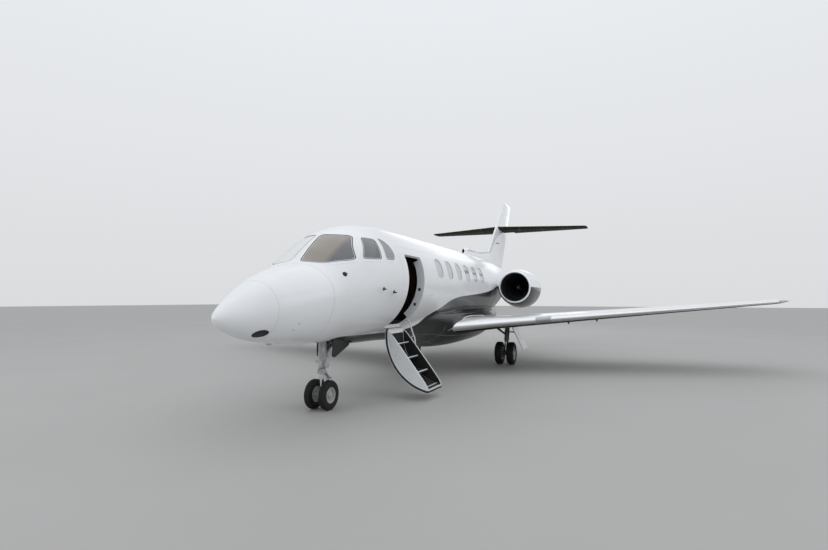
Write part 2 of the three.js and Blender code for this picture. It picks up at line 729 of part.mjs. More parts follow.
function rims(gear, x, knuckle) {
  const rim = (centre) => {
    const half = 0.42 * gear.width;
    return turned(
      [[-half, 0], [-half, gear.rim], [half, gear.rim], [half, 0]],
      [centre, at(gear.station), gear.tyre / 2],
      "x",
      ROUND_SIDES,
    );
  };
  const axle = bar(
    new THREE.Vector3(x - gear.half, at(gear.station), gear.tyre / 2),
    new THREE.Vector3(x + gear.half, at(gear.station), gear.tyre / 2),
    gear.axle,
    gear.axle,
    ROUND_SIDES,
  );
  return join([rim(x - gear.half), rim(x + gear.half), axle]);
}

// Knuckle: the bearing housing that a wheel pair's axle turns in.
function knuckle(gear, x, halfLength) {
  const z = gear.tyre / 2;
  const ends = (reach) => [
    new THREE.Vector3(x - reach, at(gear.station), z),
    new THREE.Vector3(x + reach, at(gear.station), z),
  ];
  const [housing, bore] = [
    bar(...ends(halfLength), gear.axle + 26, gear.axle + 26, ROUND_SIDES),
    bar(...ends(halfLength + 5), gear.axle + 1, gear.axle + 1, ROUND_SIDES),
  ];
  return [housing, bore];
}

// Nose gear: leg, drag brace and taxi lamp on the airframe, fork and twin wheels that steer.
const NOSE_LEG = { radius: 56, bottom: 640, piston: 40, collar: 610, trunnion: 1290 };
const TAXI_LAMP = { x: 112, station: 2135, z: 690, radius: 42, length: 70 };
const noseTop = NOSE_BAY.roof - SEAT_GAP;
const braceTop = NOSE_BAY.lowRoof - SEAT_GAP;
const lamp = bar(
  point(TAXI_LAMP.x, TAXI_LAMP.station, TAXI_LAMP.z),
  point(TAXI_LAMP.x, TAXI_LAMP.station + TAXI_LAMP.length, TAXI_LAMP.z),
  TAXI_LAMP.radius,
  TAXI_LAMP.radius * 0.7,
  ROUND_SIDES / 2,
);
const noseLeg = join([
  bar(
    point(0, NOSE_GEAR.station, NOSE_LEG.bottom),
    point(0, NOSE_GEAR.station, noseTop),
    NOSE_LEG.radius,
    NOSE_LEG.radius,
    ROUND_SIDES,
  ),
  bar(point(0, NOSE_GEAR.station, 830), point(0, NOSE_BAY.back - 110, braceTop - 25), 24),
  box([-70, NOSE_BAY.back - 160, braceTop - 50], [70, NOSE_BAY.back - 60, braceTop]),
  bar(
    point(SEAT_GAP - NOSE_BAY.halfWidth, NOSE_GEAR.station, NOSE_LEG.trunnion),
    point(NOSE_BAY.halfWidth - SEAT_GAP, NOSE_GEAR.station, NOSE_LEG.trunnion),
    34,
  ),
  bar(point(0, NOSE_GEAR.station, TAXI_LAMP.z), point(TAXI_LAMP.x, NOSE_GEAR.station, TAXI_LAMP.z), 12),
  lamp,
]);
add("nose_leg", noseLeg, FINISH.gear);

const [noseHousing, noseBore] = knuckle(NOSE_GEAR, 0, 52);
const noseAt = (back, z, x = 0) => point(x, NOSE_GEAR.station - back, z);
const noseFork = cut(
  join([
    bar(noseAt(0, 230), noseAt(0, NOSE_LEG.bottom - SEAT_GAP), NOSE_LEG.piston),
    bar(noseAt(0, NOSE_LEG.collar - 60), noseAt(0, 634), 68),
    noseHousing,
    box(
      [-TOW_LUG.halfWidth, TOW_LUG.front, NOSE_GEAR.tyre / 2 - TOW_LUG.halfHeight],
      [TOW_LUG.halfWidth, NOSE_GEAR.station, NOSE_GEAR.tyre / 2 + TOW_LUG.halfHeight],
    ),
    bar(noseAt(30, 590), noseAt(190, 460), 17),
    bar(noseAt(190, 460), noseAt(20, 300), 17),
    bar(noseAt(190, 460, -46), noseAt(190, 460, 46), 20),
  ]),
  [noseBore],
);
add("nose_fork", noseFork, FINISH.gear);
add("nose_wheels", rims(NOSE_GEAR, 0), FINISH.hub);
add("nose_tyre_left", tyre(NOSE_GEAR, NOSE_GEAR.half), FINISH.rubber);
add("nose_tyre_right", tyre(NOSE_GEAR, -NOSE_GEAR.half), FINISH.rubber);

// Nose gear doors: two small flaps that hang from the bay's sides behind the leg.
const NOSE_DOOR = {
  thickness: 20,
  outline: [[2250, 1120], [2755, 1120], [2740, 950], [2320, 790], [2250, 800]],
};
const noseDoor = sidePlate(
  sideOutline(NOSE_DOOR.outline),
  NOSE_BAY.halfWidth - SEAT_GAP - NOSE_DOOR.thickness,
  NOSE_BAY.halfWidth - SEAT_GAP,
);
addPair("nose_gear_door", noseDoor, FINISH.charcoal);

// Main gear: leg, piston, knuckle and side brace in one, twin wheels, and the door on the leg.
const MAIN_LEG = { radius: 66, bottom: 640, piston: 46, lean: 60 };
const mainAt = (outwards, aft, z) => point(MAIN_GEAR.x + outwards, MAIN_GEAR.station + aft, z);
const mainFoot = mainAt(0, 0, MAIN_GEAR.tyre / 2);
const mainTop = mainAt(MAIN_LEG.lean, 0, MAIN_BAY.roof - SEAT_GAP);
const mainMiddle = mainAt(28, 0, MAIN_LEG.bottom);
const mainStation = (aft) => MAIN_GEAR.station + aft;
const [mainHousing, mainBore] = knuckle(MAIN_GEAR, MAIN_GEAR.x, 56);
const mainLeg = cut(
  join([
    bar(mainFoot, mainMiddle, MAIN_LEG.piston),
    bar(mainMiddle, mainTop, MAIN_LEG.radius),
    mainHousing,
    bar(mainAt(34, 0, 760), point(1010, mainStation(0), MAIN_BAY.roof - 40), 30),
    box(
      [960, mainStation(-60), MAIN_BAY.roof - 60],
      [1060, mainStation(60), MAIN_BAY.roof - SEAT_GAP],
    ),
    bar(mainAt(22, 40, 620), mainAt(0, 200, 470), 18),
    bar(mainAt(0, 200, 470), mainAt(0, 20, 340), 18),
  ]),
  [
    mainBore,
    box([1200, mainStation(-200), MAIN_BAY.roof - SEAT_GAP], [1700, mainStation(200), 1400]),
  ],
);
addPair("main_leg", mainLeg, FINISH.gear);
addPair("main_wheels", rims(MAIN_GEAR, MAIN_GEAR.x), FINISH.hub);
addPair("main_tyre_outer", tyre(MAIN_GEAR, MAIN_GEAR.x + MAIN_GEAR.half), FINISH.rubber);
addPair("main_tyre_inner", tyre(MAIN_GEAR, MAIN_GEAR.x - MAIN_GEAR.half), FINISH.rubber);

const doorSection = [[1617, 1000], [1641, 1008], [1925, 440], [1903, 428]];
const mainDoor = frontPlate(frontOutline(doorSection), 8280, 8880).add(
  bar(point(1420, MAIN_GEAR.station, 850), point(1700, MAIN_GEAR.station, 850), 16),
);
const mainLegRoom = bar(mainMiddle, mainTop, MAIN_LEG.radius + SEAT_GAP);
addPair("main_gear_door", mainDoor.subtract(mainLegRoom), FINISH.white);

// Airstair: the door's shell, the stair between two cheeks, and a handrail on the aft one.
// Modelled closed, then swung down about the hinge along its sill.
const stair = new THREE.Group();
stair.position.set(STAIR_HINGE.x, 0, STAIR_HINGE.z);
stair.rotation.y = THREE.MathUtils.degToRad(STAIR_SWING);
port.add(stair);
function addToStair(name, body, finish) {
  const geometry = geometryOf(body).translate(-STAIR_HINGE.x, 0, -STAIR_HINGE.z);
  const mesh = new THREE.Mesh(geometry, finish);
  mesh.name = name;
  stair.add(mesh);
}

const STAIR = {
  front: DOOR.front + 6,
  back: DOOR.back - 6,
  foot: DOOR.sill + 8,
  head: DOOR.head - 6,
  skin: 50,
};
const doorSlab = box([300, STAIR.front, STAIR.foot], [1100, STAIR.back, STAIR.head]);
const hingeEars = [[450, 1210], [484, 1190], [502, 1194], [510, 1215], [486, 1226], [452, 1226]];
const leafFront = DOOR.front + HINGE.leaf;
const leafBack = DOOR.back - HINGE.leaf;
const hingePin = bar(
  point(STAIR_HINGE.x, leafFront, STAIR_HINGE.z),
  point(STAIR_HINGE.x, leafBack, STAIR_HINGE.z),
  HINGE.radius,
);
const hingeBlock = frontPlate(frontOutline(hingeEars), leafFront, leafBack).add(hingePin);
const stairDoor = layer(DOOR.front - 60, DOOR.back + 60, 0, STAIR.skin)
  .intersect(doorSlab)
  .add(hingeBlock);
addToStair("airstair_door", stairDoor, FINISH.white);

// The stair is drawn in the plane across the hull, along the door's chord and inwards from it.
const CHORD_ANGLE = THREE.MathUtils.degToRad(74.4);
const onChord = (along, inwards) => [
  STAIR_HINGE.x + along * Math.cos(CHORD_ANGLE) - inwards * Math.sin(CHORD_ANGLE),
  STAIR_HINGE.z + along * Math.sin(CHORD_ANGLE) + inwards * Math.cos(CHORD_ANGLE),
];
const CHEEK = { thickness: 26, gap: 14 };
const cheekOutline = [
  [60, 20],
  [150, 40],
  [700, 46],
  [1200, 40],
  [1325, 10],
  [1320, -60],
  [700, -200],
  [90, -40],
];
const cheekPlate = (station) =>
  frontPlate(frontOutline(cheekOutline.map((p) => onChord(...p))), station, station + CHEEK.thickness);
const STEP = { count: 4, first: 330, pitch: 303, inwards: -30, depth: 215, thickness: 34 };
const tread = (i) => {
  const width = STAIR.back - STAIR.front - 2 * CHEEK.gap;
  const geometry = new THREE.BoxGeometry(STEP.depth, width, STEP.thickness);
  geometry.translate(-STEP.depth / 2, 0, 0);
  geometry.rotateY(-THREE.MathUtils.degToRad(STAIR_SWING));
  const [x, z] = onChord(STEP.first + i * STEP.pitch, STEP.inwards);
  geometry.translate(x, at((STAIR.front + STAIR.back) / 2), z);
  return solid(geometry);
};
const insideSkin = hull(STAIR.skin + SEAT_GAP);
const frames = [
  cheekPlate(STAIR.front + CHEEK.gap),
  cheekPlate(STAIR.back - CHEEK.gap - CHEEK.thickness),
  ...Array.from({ length: STEP.count }, (_, i) => tread(i)),
];

// Handrail on the aft cheek, in the same plane coordinates: along the chord and inwards.
const RAIL = { radius: 13, sides: 8, station: STAIR.back - CHEEK.gap - CHEEK.thickness / 2 };
const railPlaces = [[590, -68], [343, 103], [275, 119], [41, 205], [-25, 208]].map((p) => {
  const [x, z] = onChord(...p);
  return new THREE.Vector3(x, at(RAIL.station), z);
});
const railRuns = railPlaces
  .slice(1)
  .map((to, i) => bar(railPlaces[i], to, RAIL.radius, RAIL.radius, RAIL.sides));
const railKnees = railPlaces
  .slice(1, -1)
  .map((p) => solid(new THREE.SphereGeometry(RAIL.radius, RAIL.sides, 4).translate(...p)));
const stairs = join([join(frames).intersect(insideSkin), ...railRuns, ...railKnees]);
addToStair("airstair_steps", stairs, FINISH.tread);

export default aircraft;
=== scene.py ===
import math

import bmesh
import bpy
import numpy as np
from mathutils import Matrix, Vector
from mathutils.geometry import delaunay_2d_cdt


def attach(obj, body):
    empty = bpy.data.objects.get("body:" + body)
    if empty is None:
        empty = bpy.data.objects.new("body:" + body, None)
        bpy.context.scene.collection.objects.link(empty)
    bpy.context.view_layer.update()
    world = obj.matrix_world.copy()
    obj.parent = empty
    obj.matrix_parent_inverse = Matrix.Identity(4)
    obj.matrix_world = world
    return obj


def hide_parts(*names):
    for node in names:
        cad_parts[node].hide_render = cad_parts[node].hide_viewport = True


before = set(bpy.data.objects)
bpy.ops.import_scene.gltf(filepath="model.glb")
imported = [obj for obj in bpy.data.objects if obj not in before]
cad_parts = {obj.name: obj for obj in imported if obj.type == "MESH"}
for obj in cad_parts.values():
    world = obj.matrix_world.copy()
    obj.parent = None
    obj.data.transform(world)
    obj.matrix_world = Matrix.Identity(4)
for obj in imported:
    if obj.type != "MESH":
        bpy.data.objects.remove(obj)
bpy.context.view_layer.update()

scene = bpy.context.scene

# Camera: it stands ahead of the port wing tip at eye height and looks back along the port side.
# Its place, turn and lens are solved so that the wheels, the door and the tail fall into place.
EYE = (4.359, -11.972, 1.699)
EYE_TURN = (92.91, -0.1, 23.76)
SENSOR = 36.0
FOCAL = 21.0


def new_object(name, data):
    """An object in the scene that holds a mesh, a lamp or a camera."""
    made = bpy.data.objects.new(name, data)
    scene.collection.objects.link(made)
    return made


camera = new_object("camera", bpy.data.cameras.new("camera"))
camera.location = EYE
camera.rotation_euler = [math.radians(angle) for angle in EYE_TURN]
camera.data.sensor_width = SENSOR
camera.data.lens = FOCAL
scene.camera = camera
scene.view_settings.view_transform = "Standard"

# Studio: a pale floor that runs out of view, an even sky and soft boxes.
# The large box overhead gives the long highlight on the crown, the side ones shape the flanks.


def linear(colour):
    """An sRGB hex colour as linear red, green, blue and alpha."""
    parts = [int(colour[i : i + 2], 16) / 255 for i in (0, 2, 4)]
    return (*[c / 12.92 if c <= 0.04045 else ((c + 0.055) / 1.055) ** 2.4 for c in parts], 1.0)


def add_node(tree, kind, values=None, links=None, **settings):
    """Adds one node with its settings, its socket values and what is linked into its sockets."""
    made = tree.nodes.new(kind)
    for name, value in settings.items():
        setattr(made, name, value)
    for socket, value in (values or {}).items():
        made.inputs[socket].default_value = value
    for socket, source in (links or {}).items():
        tree.links.new(source, made.inputs[socket])
    return made


def new_material(name):
    """An empty node material and its tree."""
    made = bpy.data.materials.new(name)
    made.use_nodes = True
    made.node_tree.nodes.clear()
    return made, made.node_tree


def finish_material(tree, shader):
    """Wires the shader to the material's output."""
    add_node(tree, "ShaderNodeOutputMaterial", links={"Surface": shader.outputs[0]})


FLOOR_HALF = 120.0
floor_mesh = bpy.data.meshes.new("floor")
floor_mesh.from_pydata(
    [(-FLOOR_HALF, -FLOOR_HALF, 0), (FLOOR_HALF, -FLOOR_HALF, 0),
     (FLOOR_HALF, FLOOR_HALF, 0), (-FLOOR_HALF, FLOOR_HALF, 0)], [], [(0, 1, 2, 3)])
floor = new_object("floor", floor_mesh)
floor_paint, tree = new_material("pale_screed")
place = add_node(tree, "ShaderNodeTexCoord")
cloudy = add_node(tree, "ShaderNodeTexNoise", {"Scale": 0.35, "Detail": 4.0},
                  {"Vector": place.outputs["Object"]})
shade = add_node(tree, "ShaderNodeValToRGB", links={"Fac": cloudy.outputs[0]})
shade.color_ramp.elements[0].color = linear("a9a8a6")
shade.color_ramp.elements[1].color = linear("b2b1af")
screed = add_node(tree, "ShaderNodeBsdfPrincipled", {"Roughness": 0.75},
                  {"Base Color": shade.outputs[0]})
finish_material(tree, screed)
floor_mesh.materials.append(floor_paint)

SKY_HIGH = "f4f7fb"
SKY_LOW = "e3e4e6"
world = bpy.data.worlds.new("studio")
scene.world = world
world.use_nodes = True
tree = world.node_tree
tree.nodes.clear()
look = add_node(tree, "ShaderNodeTexCoord")
parts = add_node(tree, "ShaderNodeSeparateXYZ", links={"Vector": look.outputs["Generated"]})
rise = add_node(tree, "ShaderNodeMapRange", {"From Min": -0.05, "From Max": 0.55},
                {"Value": parts.outputs["Z"]})
sky = add_node(tree, "ShaderNodeMix", {6: linear(SKY_LOW), 7: linear(SKY_HIGH)},
               {0: rise.outputs[0]}, data_type="RGBA")
glow = add_node(tree, "ShaderNodeBackground", {"Strength": 0.91}, {"Color": sky.outputs[2]})
add_node(tree, "ShaderNodeOutputWorld", links={"Surface": glow.outputs[0]})

# Columns: name, place, point it faces, width, height, watts.
SOFT_BOXES = [
    ("overhead_box", (1.0, 0.0, 15.0), (0.0, 0.0, 1.5), 16.0, 22.0, 300.0),
    ("nose_box", (-9.0, -17.0, 7.5), (0.0, -4.0, 2.0), 9.0, 6.0, 260.0),
    ("port_box", (17.0, -4.0, 8.5), (0.0, 0.0, 2.0), 10.0, 7.0, 170.0),
    ("tail_box", (-4.0, 20.0, 9.0), (0.0, 4.0, 2.5), 12.0, 6.0, 190.0),
]
for name, spot, target, width, height, watts in SOFT_BOXES:
    box = bpy.data.lights.new(name, "AREA")
    box.shape = "RECTANGLE"
    box.size = width
    box.size_y = height
    box.energy = watts
    lamp = new_object(name, box)
    lamp.location = spot
    lamp.rotation_euler = (Vector(target) - Vector(spot)).to_track_quat("-Z", "Y").to_euler()

# Fuselage skin: radome, nose, cockpit, cabin and tail lengths of one hull.
# Aluminium panels (the radome is glass fibre) over frames, butt-jointed with sealed seams
# and sprayed with gloss polyurethane: white above, charcoal below a swept line.
MIDDLE = 7.8  # the frame's origin is half the length behind the nose's tip
WALL = 0.055
SEAM_GAP = 0.0015
# Columns: station behind the nose, half width, top, bottom, height of the greatest width.
HULL = [
    (0.0, 0.012, 1.484, 1.458, 1.471),
    (0.025, 0.060, 1.534, 1.414, 1.473),
    (0.09, 0.118, 1.597, 1.358, 1.478),
    (0.22, 0.206, 1.694, 1.294, 1.492),
    (0.45, 0.338, 1.842, 1.207, 1.530),
    (0.75, 0.498, 2.000, 1.141, 1.590),
    (1.10, 0.640, 2.130, 1.086, 1.665),
    (1.43, 0.740, 2.232, 1.056, 1.735),
    (1.75, 0.815, 2.485, 1.046, 1.810),
    (2.10, 0.875, 2.720, 1.046, 1.880),
    (2.50, 0.925, 2.880, 1.056, 1.950),
    (2.90, 0.952, 2.962, 1.070, 2.000),
    (3.30, 0.965, 3.005, 1.085, 2.040),
    (3.60, 0.965, 3.015, 1.085, 2.050),
    (8.70, 0.965, 3.015, 1.085, 2.050),
    (9.40, 0.950, 3.012, 1.110, 2.060),
    (10.20, 0.895, 3.000, 1.200, 2.100),
    (11.20, 0.775, 2.970, 1.400, 2.180),
    (12.20, 0.600, 2.920, 1.700, 2.290),
    (13.20, 0.385, 2.850, 2.060, 2.440),
    (13.90, 0.215, 2.780, 2.350, 2.560),
    (14.30, 0.090, 2.700, 2.520, 2.610),
]
# Columns: station, height of the line between white and charcoal.
PAINT_LINE = [
    (0.0, 0.90), (1.80, 1.00), (2.05, 1.14), (2.85, 1.115), (3.82, 1.10), (4.30, 1.14),
    (4.62, 1.24), (4.85, 1.39), (5.25, 1.525), (5.60, 1.66), (6.10, 1.755), (6.90, 1.805),
    (7.90, 1.865), (8.80, 1.955), (9.40, 2.06), (10.60, 2.23), (12.20, 2.44), (14.30, 2.63),
]


def smooth_rows(table, at):
    """The table's rows at any places, on monotone cubic curves through its own rows."""
    rows = np.array(table, float)
    x, y = rows[:, 0], rows[:, 1:]
    at = np.atleast_1d(np.asarray(at, float))
    gap = np.diff(x)[:, None]
    slope = np.diff(y, axis=0) / gap
    before, after = 2 * gap[1:] + gap[:-1], gap[1:] + 2 * gap[:-1]
    same = slope[1:] * slope[:-1] > 0
    low, high = np.where(same, slope[:-1], 1.0), np.where(same, slope[1:], 1.0)
    tangent = np.zeros_like(y)
    tangent[1:-1] = np.where(same, (before + after) / (before / low + after / high), 0.0)
    tangent[0], tangent[-1] = slope[0], slope[-1]
    i = np.clip(np.searchsorted(x, at, side="right") - 1, 0, len(x) - 2)
    h = np.diff(x)[i][:, None]
    t = (at - x[i])[:, None] / h
    return (
        (1 + 2 * t) * (1 - t) ** 2 * y[i]
        + t * (1 - t) ** 2 * h * tangent[i]
        + t * t * (3 - 2 * t) * y[i + 1]
        + t * t * (t - 1) * h * tangent[i + 1]
    )


def hull_points(station, angle):
    """Points of the hull's outer skin; the angle runs from port over the crown."""
    half, top, bottom, level = smooth_rows(HULL, station).T
    rise = np.sin(angle)
    height = np.where(rise > 0, top - level, level - bottom)
    return np.stack([half * np.cos(angle), station - MIDDLE, level + height * rise], 1)


def hull_normals(station, angle):
    """Outward unit normals of the hull, from its slopes along and around."""
    step = 0.004
    front = np.maximum(station - step, 0.0)
    along = hull_points(station + step, angle) - hull_points(front, angle)
    around = hull_points(station, angle + step) - hull_points(station, angle - step)
    normal = np.cross(along, around)
    return normal / np.linalg.norm(normal, axis=1)[:, None]


def rounded(corners, radius, steps=5):
    """A closed outline with its corners rounded off, as an array of points."""
    corners = [np.array(c, float) for c in corners]
    path = []
    for before, here, after in zip(corners[-1:] + corners[:-1], corners, corners[1:] + corners[:1]):
        reach = min(radius, 0.45 * np.linalg.norm(before - here), 0.45 * np.linalg.norm(after - here))
        a = here + (before - here) / np.linalg.norm(before - here) * reach
        b = here + (after - here) / np.linalg.norm(after - here) * reach
        for t in np.linspace(0, 1, steps + 1):
            path.append((1 - t) ** 2 * a + 2 * t * (1 - t) * here + t * t * b)
    return np.array(path)


def spaced(outline, longest):
    """A closed outline with points added wherever two lie further apart than the longest step."""
    made = []
    for a, b in zip(outline, np.roll(outline, -1, axis=0)):
        count = max(1, math.ceil(np.linalg.norm(b - a) / longest))
        made += [a + (b - a) * k / count for k in range(count)]
    return np.array(made)


def side_hole(outline):
    """An outline seen from the port side, as [station, z], turned to [station, angle] on the hull."""
    half, top, bottom, level = smooth_rows(HULL, outline[:, 0]).T
    rise = outline[:, 1] - level
    height = np.where(rise > 0, top - level, level - bottom)
    return np.stack([outline[:, 0], np.arcsin(np.clip(rise / height, -1, 1))], 1)


def front_hole(outline, first, last):
    """An outline seen from the front, as [x, z], found on the hull between two stations."""
    low, high = np.full(len(outline), first), np.full(len(outline), last)
    x, z = outline.T
    for _ in range(30):
        mid = (low + high) / 2
        half, top, bottom, level = smooth_rows(HULL, mid).T
        height = np.where(z > level, top - level, level - bottom)
        outside = (x / half) ** 2 + ((z - level) / height) ** 2 > 1
        low, high = np.where(outside, mid, low), np.where(outside, high, mid)
    half, top, bottom, level = smooth_rows(HULL, low).T
    height = np.where(z > level, top - level, level - bottom)
    return np.stack([low, np.arctan2((z - level) / height, x / half)], 1)


def bottom_hole(outline):
    """An outline seen from below, as [station, x], turned to [station, angle] on the hull."""
    half = smooth_rows(HULL, outline[:, 0])[:, 0]
    return np.stack([outline[:, 0], np.arcsin(outline[:, 1] / half) - math.pi / 2], 1)


def mirrored_hole(hole):
    """The same hole on the starboard side."""
    return np.stack([hole[:, 0], -math.pi - hole[:, 1]], 1)[::-1]


WINDSCREEN = [(0.080, 2.242), (0.456, 2.212), (0.732, 2.282), (0.462, 2.695), (0.032, 2.706)]
SIDE_PANES = [
    [(2.112, 2.310), (2.545, 2.329), (2.671, 2.667), (2.401, 2.676)],
    [(2.671, 2.338), (2.912, 2.344), (2.972, 2.450), (2.958, 2.571), (2.860, 2.680), (2.789, 2.701)],
]
WINDOW = {"first": 4.90, "pitch": 0.61, "count": 6, "width": 0.32, "height": 0.37,
          "middle": 2.325, "corner": 0.13}
DOOR = (3.33, 4.02, 1.20, 2.476)  # front, back, sill, head
DOOR_CORNER = 0.05
NOSE_BAY = {"front": 2.07, "back": 2.76, "half": 0.15}


def rectangle(front, back, low, high):
    """Corners of an upright rectangle."""
    return [(front, low), (back, low), (back, high), (front, high)]


cockpit_holes = [front_hole(spaced(rounded(WINDSCREEN, 0.07), 0.03), 1.35, 2.6)]
cockpit_holes += [side_hole(spaced(rounded(pane, 0.06), 0.03)) for pane in SIDE_PANES]
window_holes = []
for i in range(WINDOW["count"]):
    station = WINDOW["first"] + i * WINDOW["pitch"]
    corners = rectangle(station - WINDOW["width"] / 2, station + WINDOW["width"] / 2,
                        WINDOW["middle"] - WINDOW["height"] / 2, WINDOW["middle"] + WINDOW["height"] / 2)
    window_holes.append(side_hole(spaced(rounded(corners, WINDOW["corner"], 8), 0.02)))
door_hole = side_hole(spaced(rounded(rectangle(*DOOR), DOOR_CORNER), 0.03))
bay_corners = rectangle(NOSE_BAY["front"], NOSE_BAY["back"], -NOSE_BAY["half"], NOSE_BAY["half"])
bay_hole = bottom_hole(spaced(rounded(bay_corners, 0.02), 0.04))

REACH = 0.965  # turns angles into lengths of skin for the flat pattern


def flat_pattern(stations, angles, holes, outline=None):
    """Triangles of a skin panel laid flat as [station, angle], with the holes left open.
    Its edge is the outline, or else the edge of the grid of stations and angles."""
    points = [(s, a * REACH) for s in stations for a in angles]
    across, along = len(angles), len(stations)
    loops = [[*range(across), *(i * across + across - 1 for i in range(1, along)),
              *((along - 1) * across + k for k in range(across - 2, -1, -1)),
              *(i * across for i in range(along - 2, 0, -1))]]
    if outline is not None:
        loops = []
        holes = [outline, *holes]
    for hole in holes:
        start = len(points)
        points += [(s, a * REACH) for s, a in hole]
        loops.append(list(range(start, len(points))))
    flat = np.array(points)
    for loop in loops:  # the triangulation knows only loops that run anticlockwise
        here, after = flat[loop], flat[np.roll(loop, -1)]
        if (here[:, 0] * after[:, 1] - here[:, 1] * after[:, 0]).sum() < 0:
            loop.reverse()
    found = delaunay_2d_cdt([Vector(p) for p in points], [], loops, 1, 1e-5, True)
    verts = np.array([tuple(v) for v in found[0]])
    faces = np.array([f for f, owners in zip(found[2], found[5]) if owners and max(owners) == 0])
    verts[:, 1] /= REACH
    used, faces = np.unique(faces, return_inverse=True)
    return verts[used], faces.reshape(-1, 3)


def walled(outer, outer_normals, inner, inner_normals, faces):
    """A closed wall from an outer and an inner sheet of the same triangles: corners, faces, loop normals."""
    count = len(outer)
    edges = np.concatenate([faces[:, [0, 1]], faces[:, [1, 2]], faces[:, [2, 0]]])
    seen = {tuple(e) for e in edges}
    rim = np.array([e for e in seen if (e[1], e[0]) not in seen])
    verts = np.concatenate([outer, inner])
    back = faces[:, ::-1] + count
    walls = np.stack([rim[:, 1], rim[:, 0], rim[:, 0] + count, rim[:, 1] + count], 1)
    loop_normals = np.concatenate([
        outer_normals[faces].reshape(-1, 3),
        inner_normals[faces[:, ::-1]].reshape(-1, 3),
        np.zeros((walls.size, 3)),
    ])
    flat = np.concatenate([np.zeros(len(faces) * 2, bool), np.ones(len(walls), bool)])
    return verts, [*faces.tolist(), *back.tolist(), *walls.tolist()], loop_normals, flat


def finished(mesh, materials, tones=None):
    """Gives a mesh its materials, and how far its corners lie above a colour line."""
    for made in materials if isinstance(materials, list) else [materials]:
        mesh.materials.append(made)
    if tones is not None:
        mesh.attributes.new("tone", "FLOAT", "POINT").data.foreach_set("value", tones.astype(np.float32))


def carried(piece, body, replaces=()):
    """Lets a piece ride on a body and the solids that it stands for."""
    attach(piece, body)
    if replaces:
        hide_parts(*replaces)
    return piece


def tone_of(points):
    """How far each point lies above the line between white and charcoal."""
    line = smooth_rows(PAINT_LINE, points[:, 1] + MIDDLE)[:, 0]
    return points[:, 2] - line


CROWN = math.pi / 2


def hull_sheet(flat, faces, depths):
    """Bends a flat pattern round the hull and gives it a wall between two depths."""
    points, normals = hull_points(*flat.T), hull_normals(*flat.T)
    a, b, c = (points[faces[:, k]] for k in range(3))
    turned_in = (np.cross(b - a, c - a) * normals[faces[:, 0]]).sum(1) < 0
    faces[turned_in] = faces[turned_in][:, ::-1]
    outer, inner = (points - normals * depth for depth in depths)
    return walled(outer, normals, inner, -normals, faces)


def sheet_piece(name, sheets, materials, replaces=(), side=1):
    """Makes one piece of walled sheets that keep the hull's own normals."""
    verts, polygons, normals, flat, marks = [], [], [], [], []
    for points, faces, loop_normals, flat_faces in sheets:
        polygons += [[i + len(verts) for i in face] for face in faces]
        verts += list(points)
        normals.append(loop_normals)
        flat.append(flat_faces)
        skins = (len(faces) - flat_faces.sum()) // 2
        marks += [0] * skins + [1] * skins + [0] * (len(faces) - 2 * skins)
    verts, normals = np.array(verts), np.concatenate(normals)
    if side < 0:
        verts = verts * (-1, 1, 1)
        flipped, first = [], 0
        for face in polygons:
            flipped.append(normals[first : first + len(face)][::-1] * (-1, 1, 1))
            first += len(face)
        polygons, normals = [face[::-1] for face in polygons], np.concatenate(flipped)
    mesh = bpy.data.meshes.new(name)
    mesh.from_pydata([tuple(v) for v in verts], [], polygons)
    mesh.validate()
    finished(mesh, materials, tone_of(verts))
    if isinstance(materials, list):
        mesh.polygons.foreach_set("material_index", marks)
    mesh.polygons.foreach_set("use_smooth", ~np.concatenate(flat))
    if len(mesh.loops) == len(normals):
        mesh.normals_split_custom_set(normals)
    return carried(new_object(name, mesh), "airframe", replaces)


def hull_wall(name, first, last, step, holes, material, replaces, depths=(0.0, WALL),
              sides=104):
    """A length of hull wall between two stations, with its holes, as a closed shell."""
    stations = np.linspace(first, last, max(2, round((last - first) / step) + 1))
    flat, faces = flat_pattern(stations, np.linspace(CROWN - math.tau, CROWN, sides + 1), holes)
    ends = {round(s, 5): i for i, (s, a) in enumerate(flat) if a < CROWN - math.tau + 1e-6}
    same = {i: ends[round(s, 5)] for i, (s, a) in enumerate(flat) if a > CROWN - 1e-6}
    faces = np.vectorize(lambda i: same.get(i, i))(faces)
    return sheet_piece(name, [hull_sheet(flat, faces, depths)], material, replaces)


# Gloss polyurethane paint: hard and mirror-like, with a faint orange peel from the spray gun
# and a little dust in patches; its pigment is white or charcoal by the signed distance in "tone".
WHITE = "eef0f2"
WHITE_SOILED = "e8eaec"
CHARCOAL = "1d2120"
CHARCOAL_SOILED = "272b2a"
PEEL = 1 / 0.02  # 20 mm ripples: real orange peel is 2 mm and too fine to show


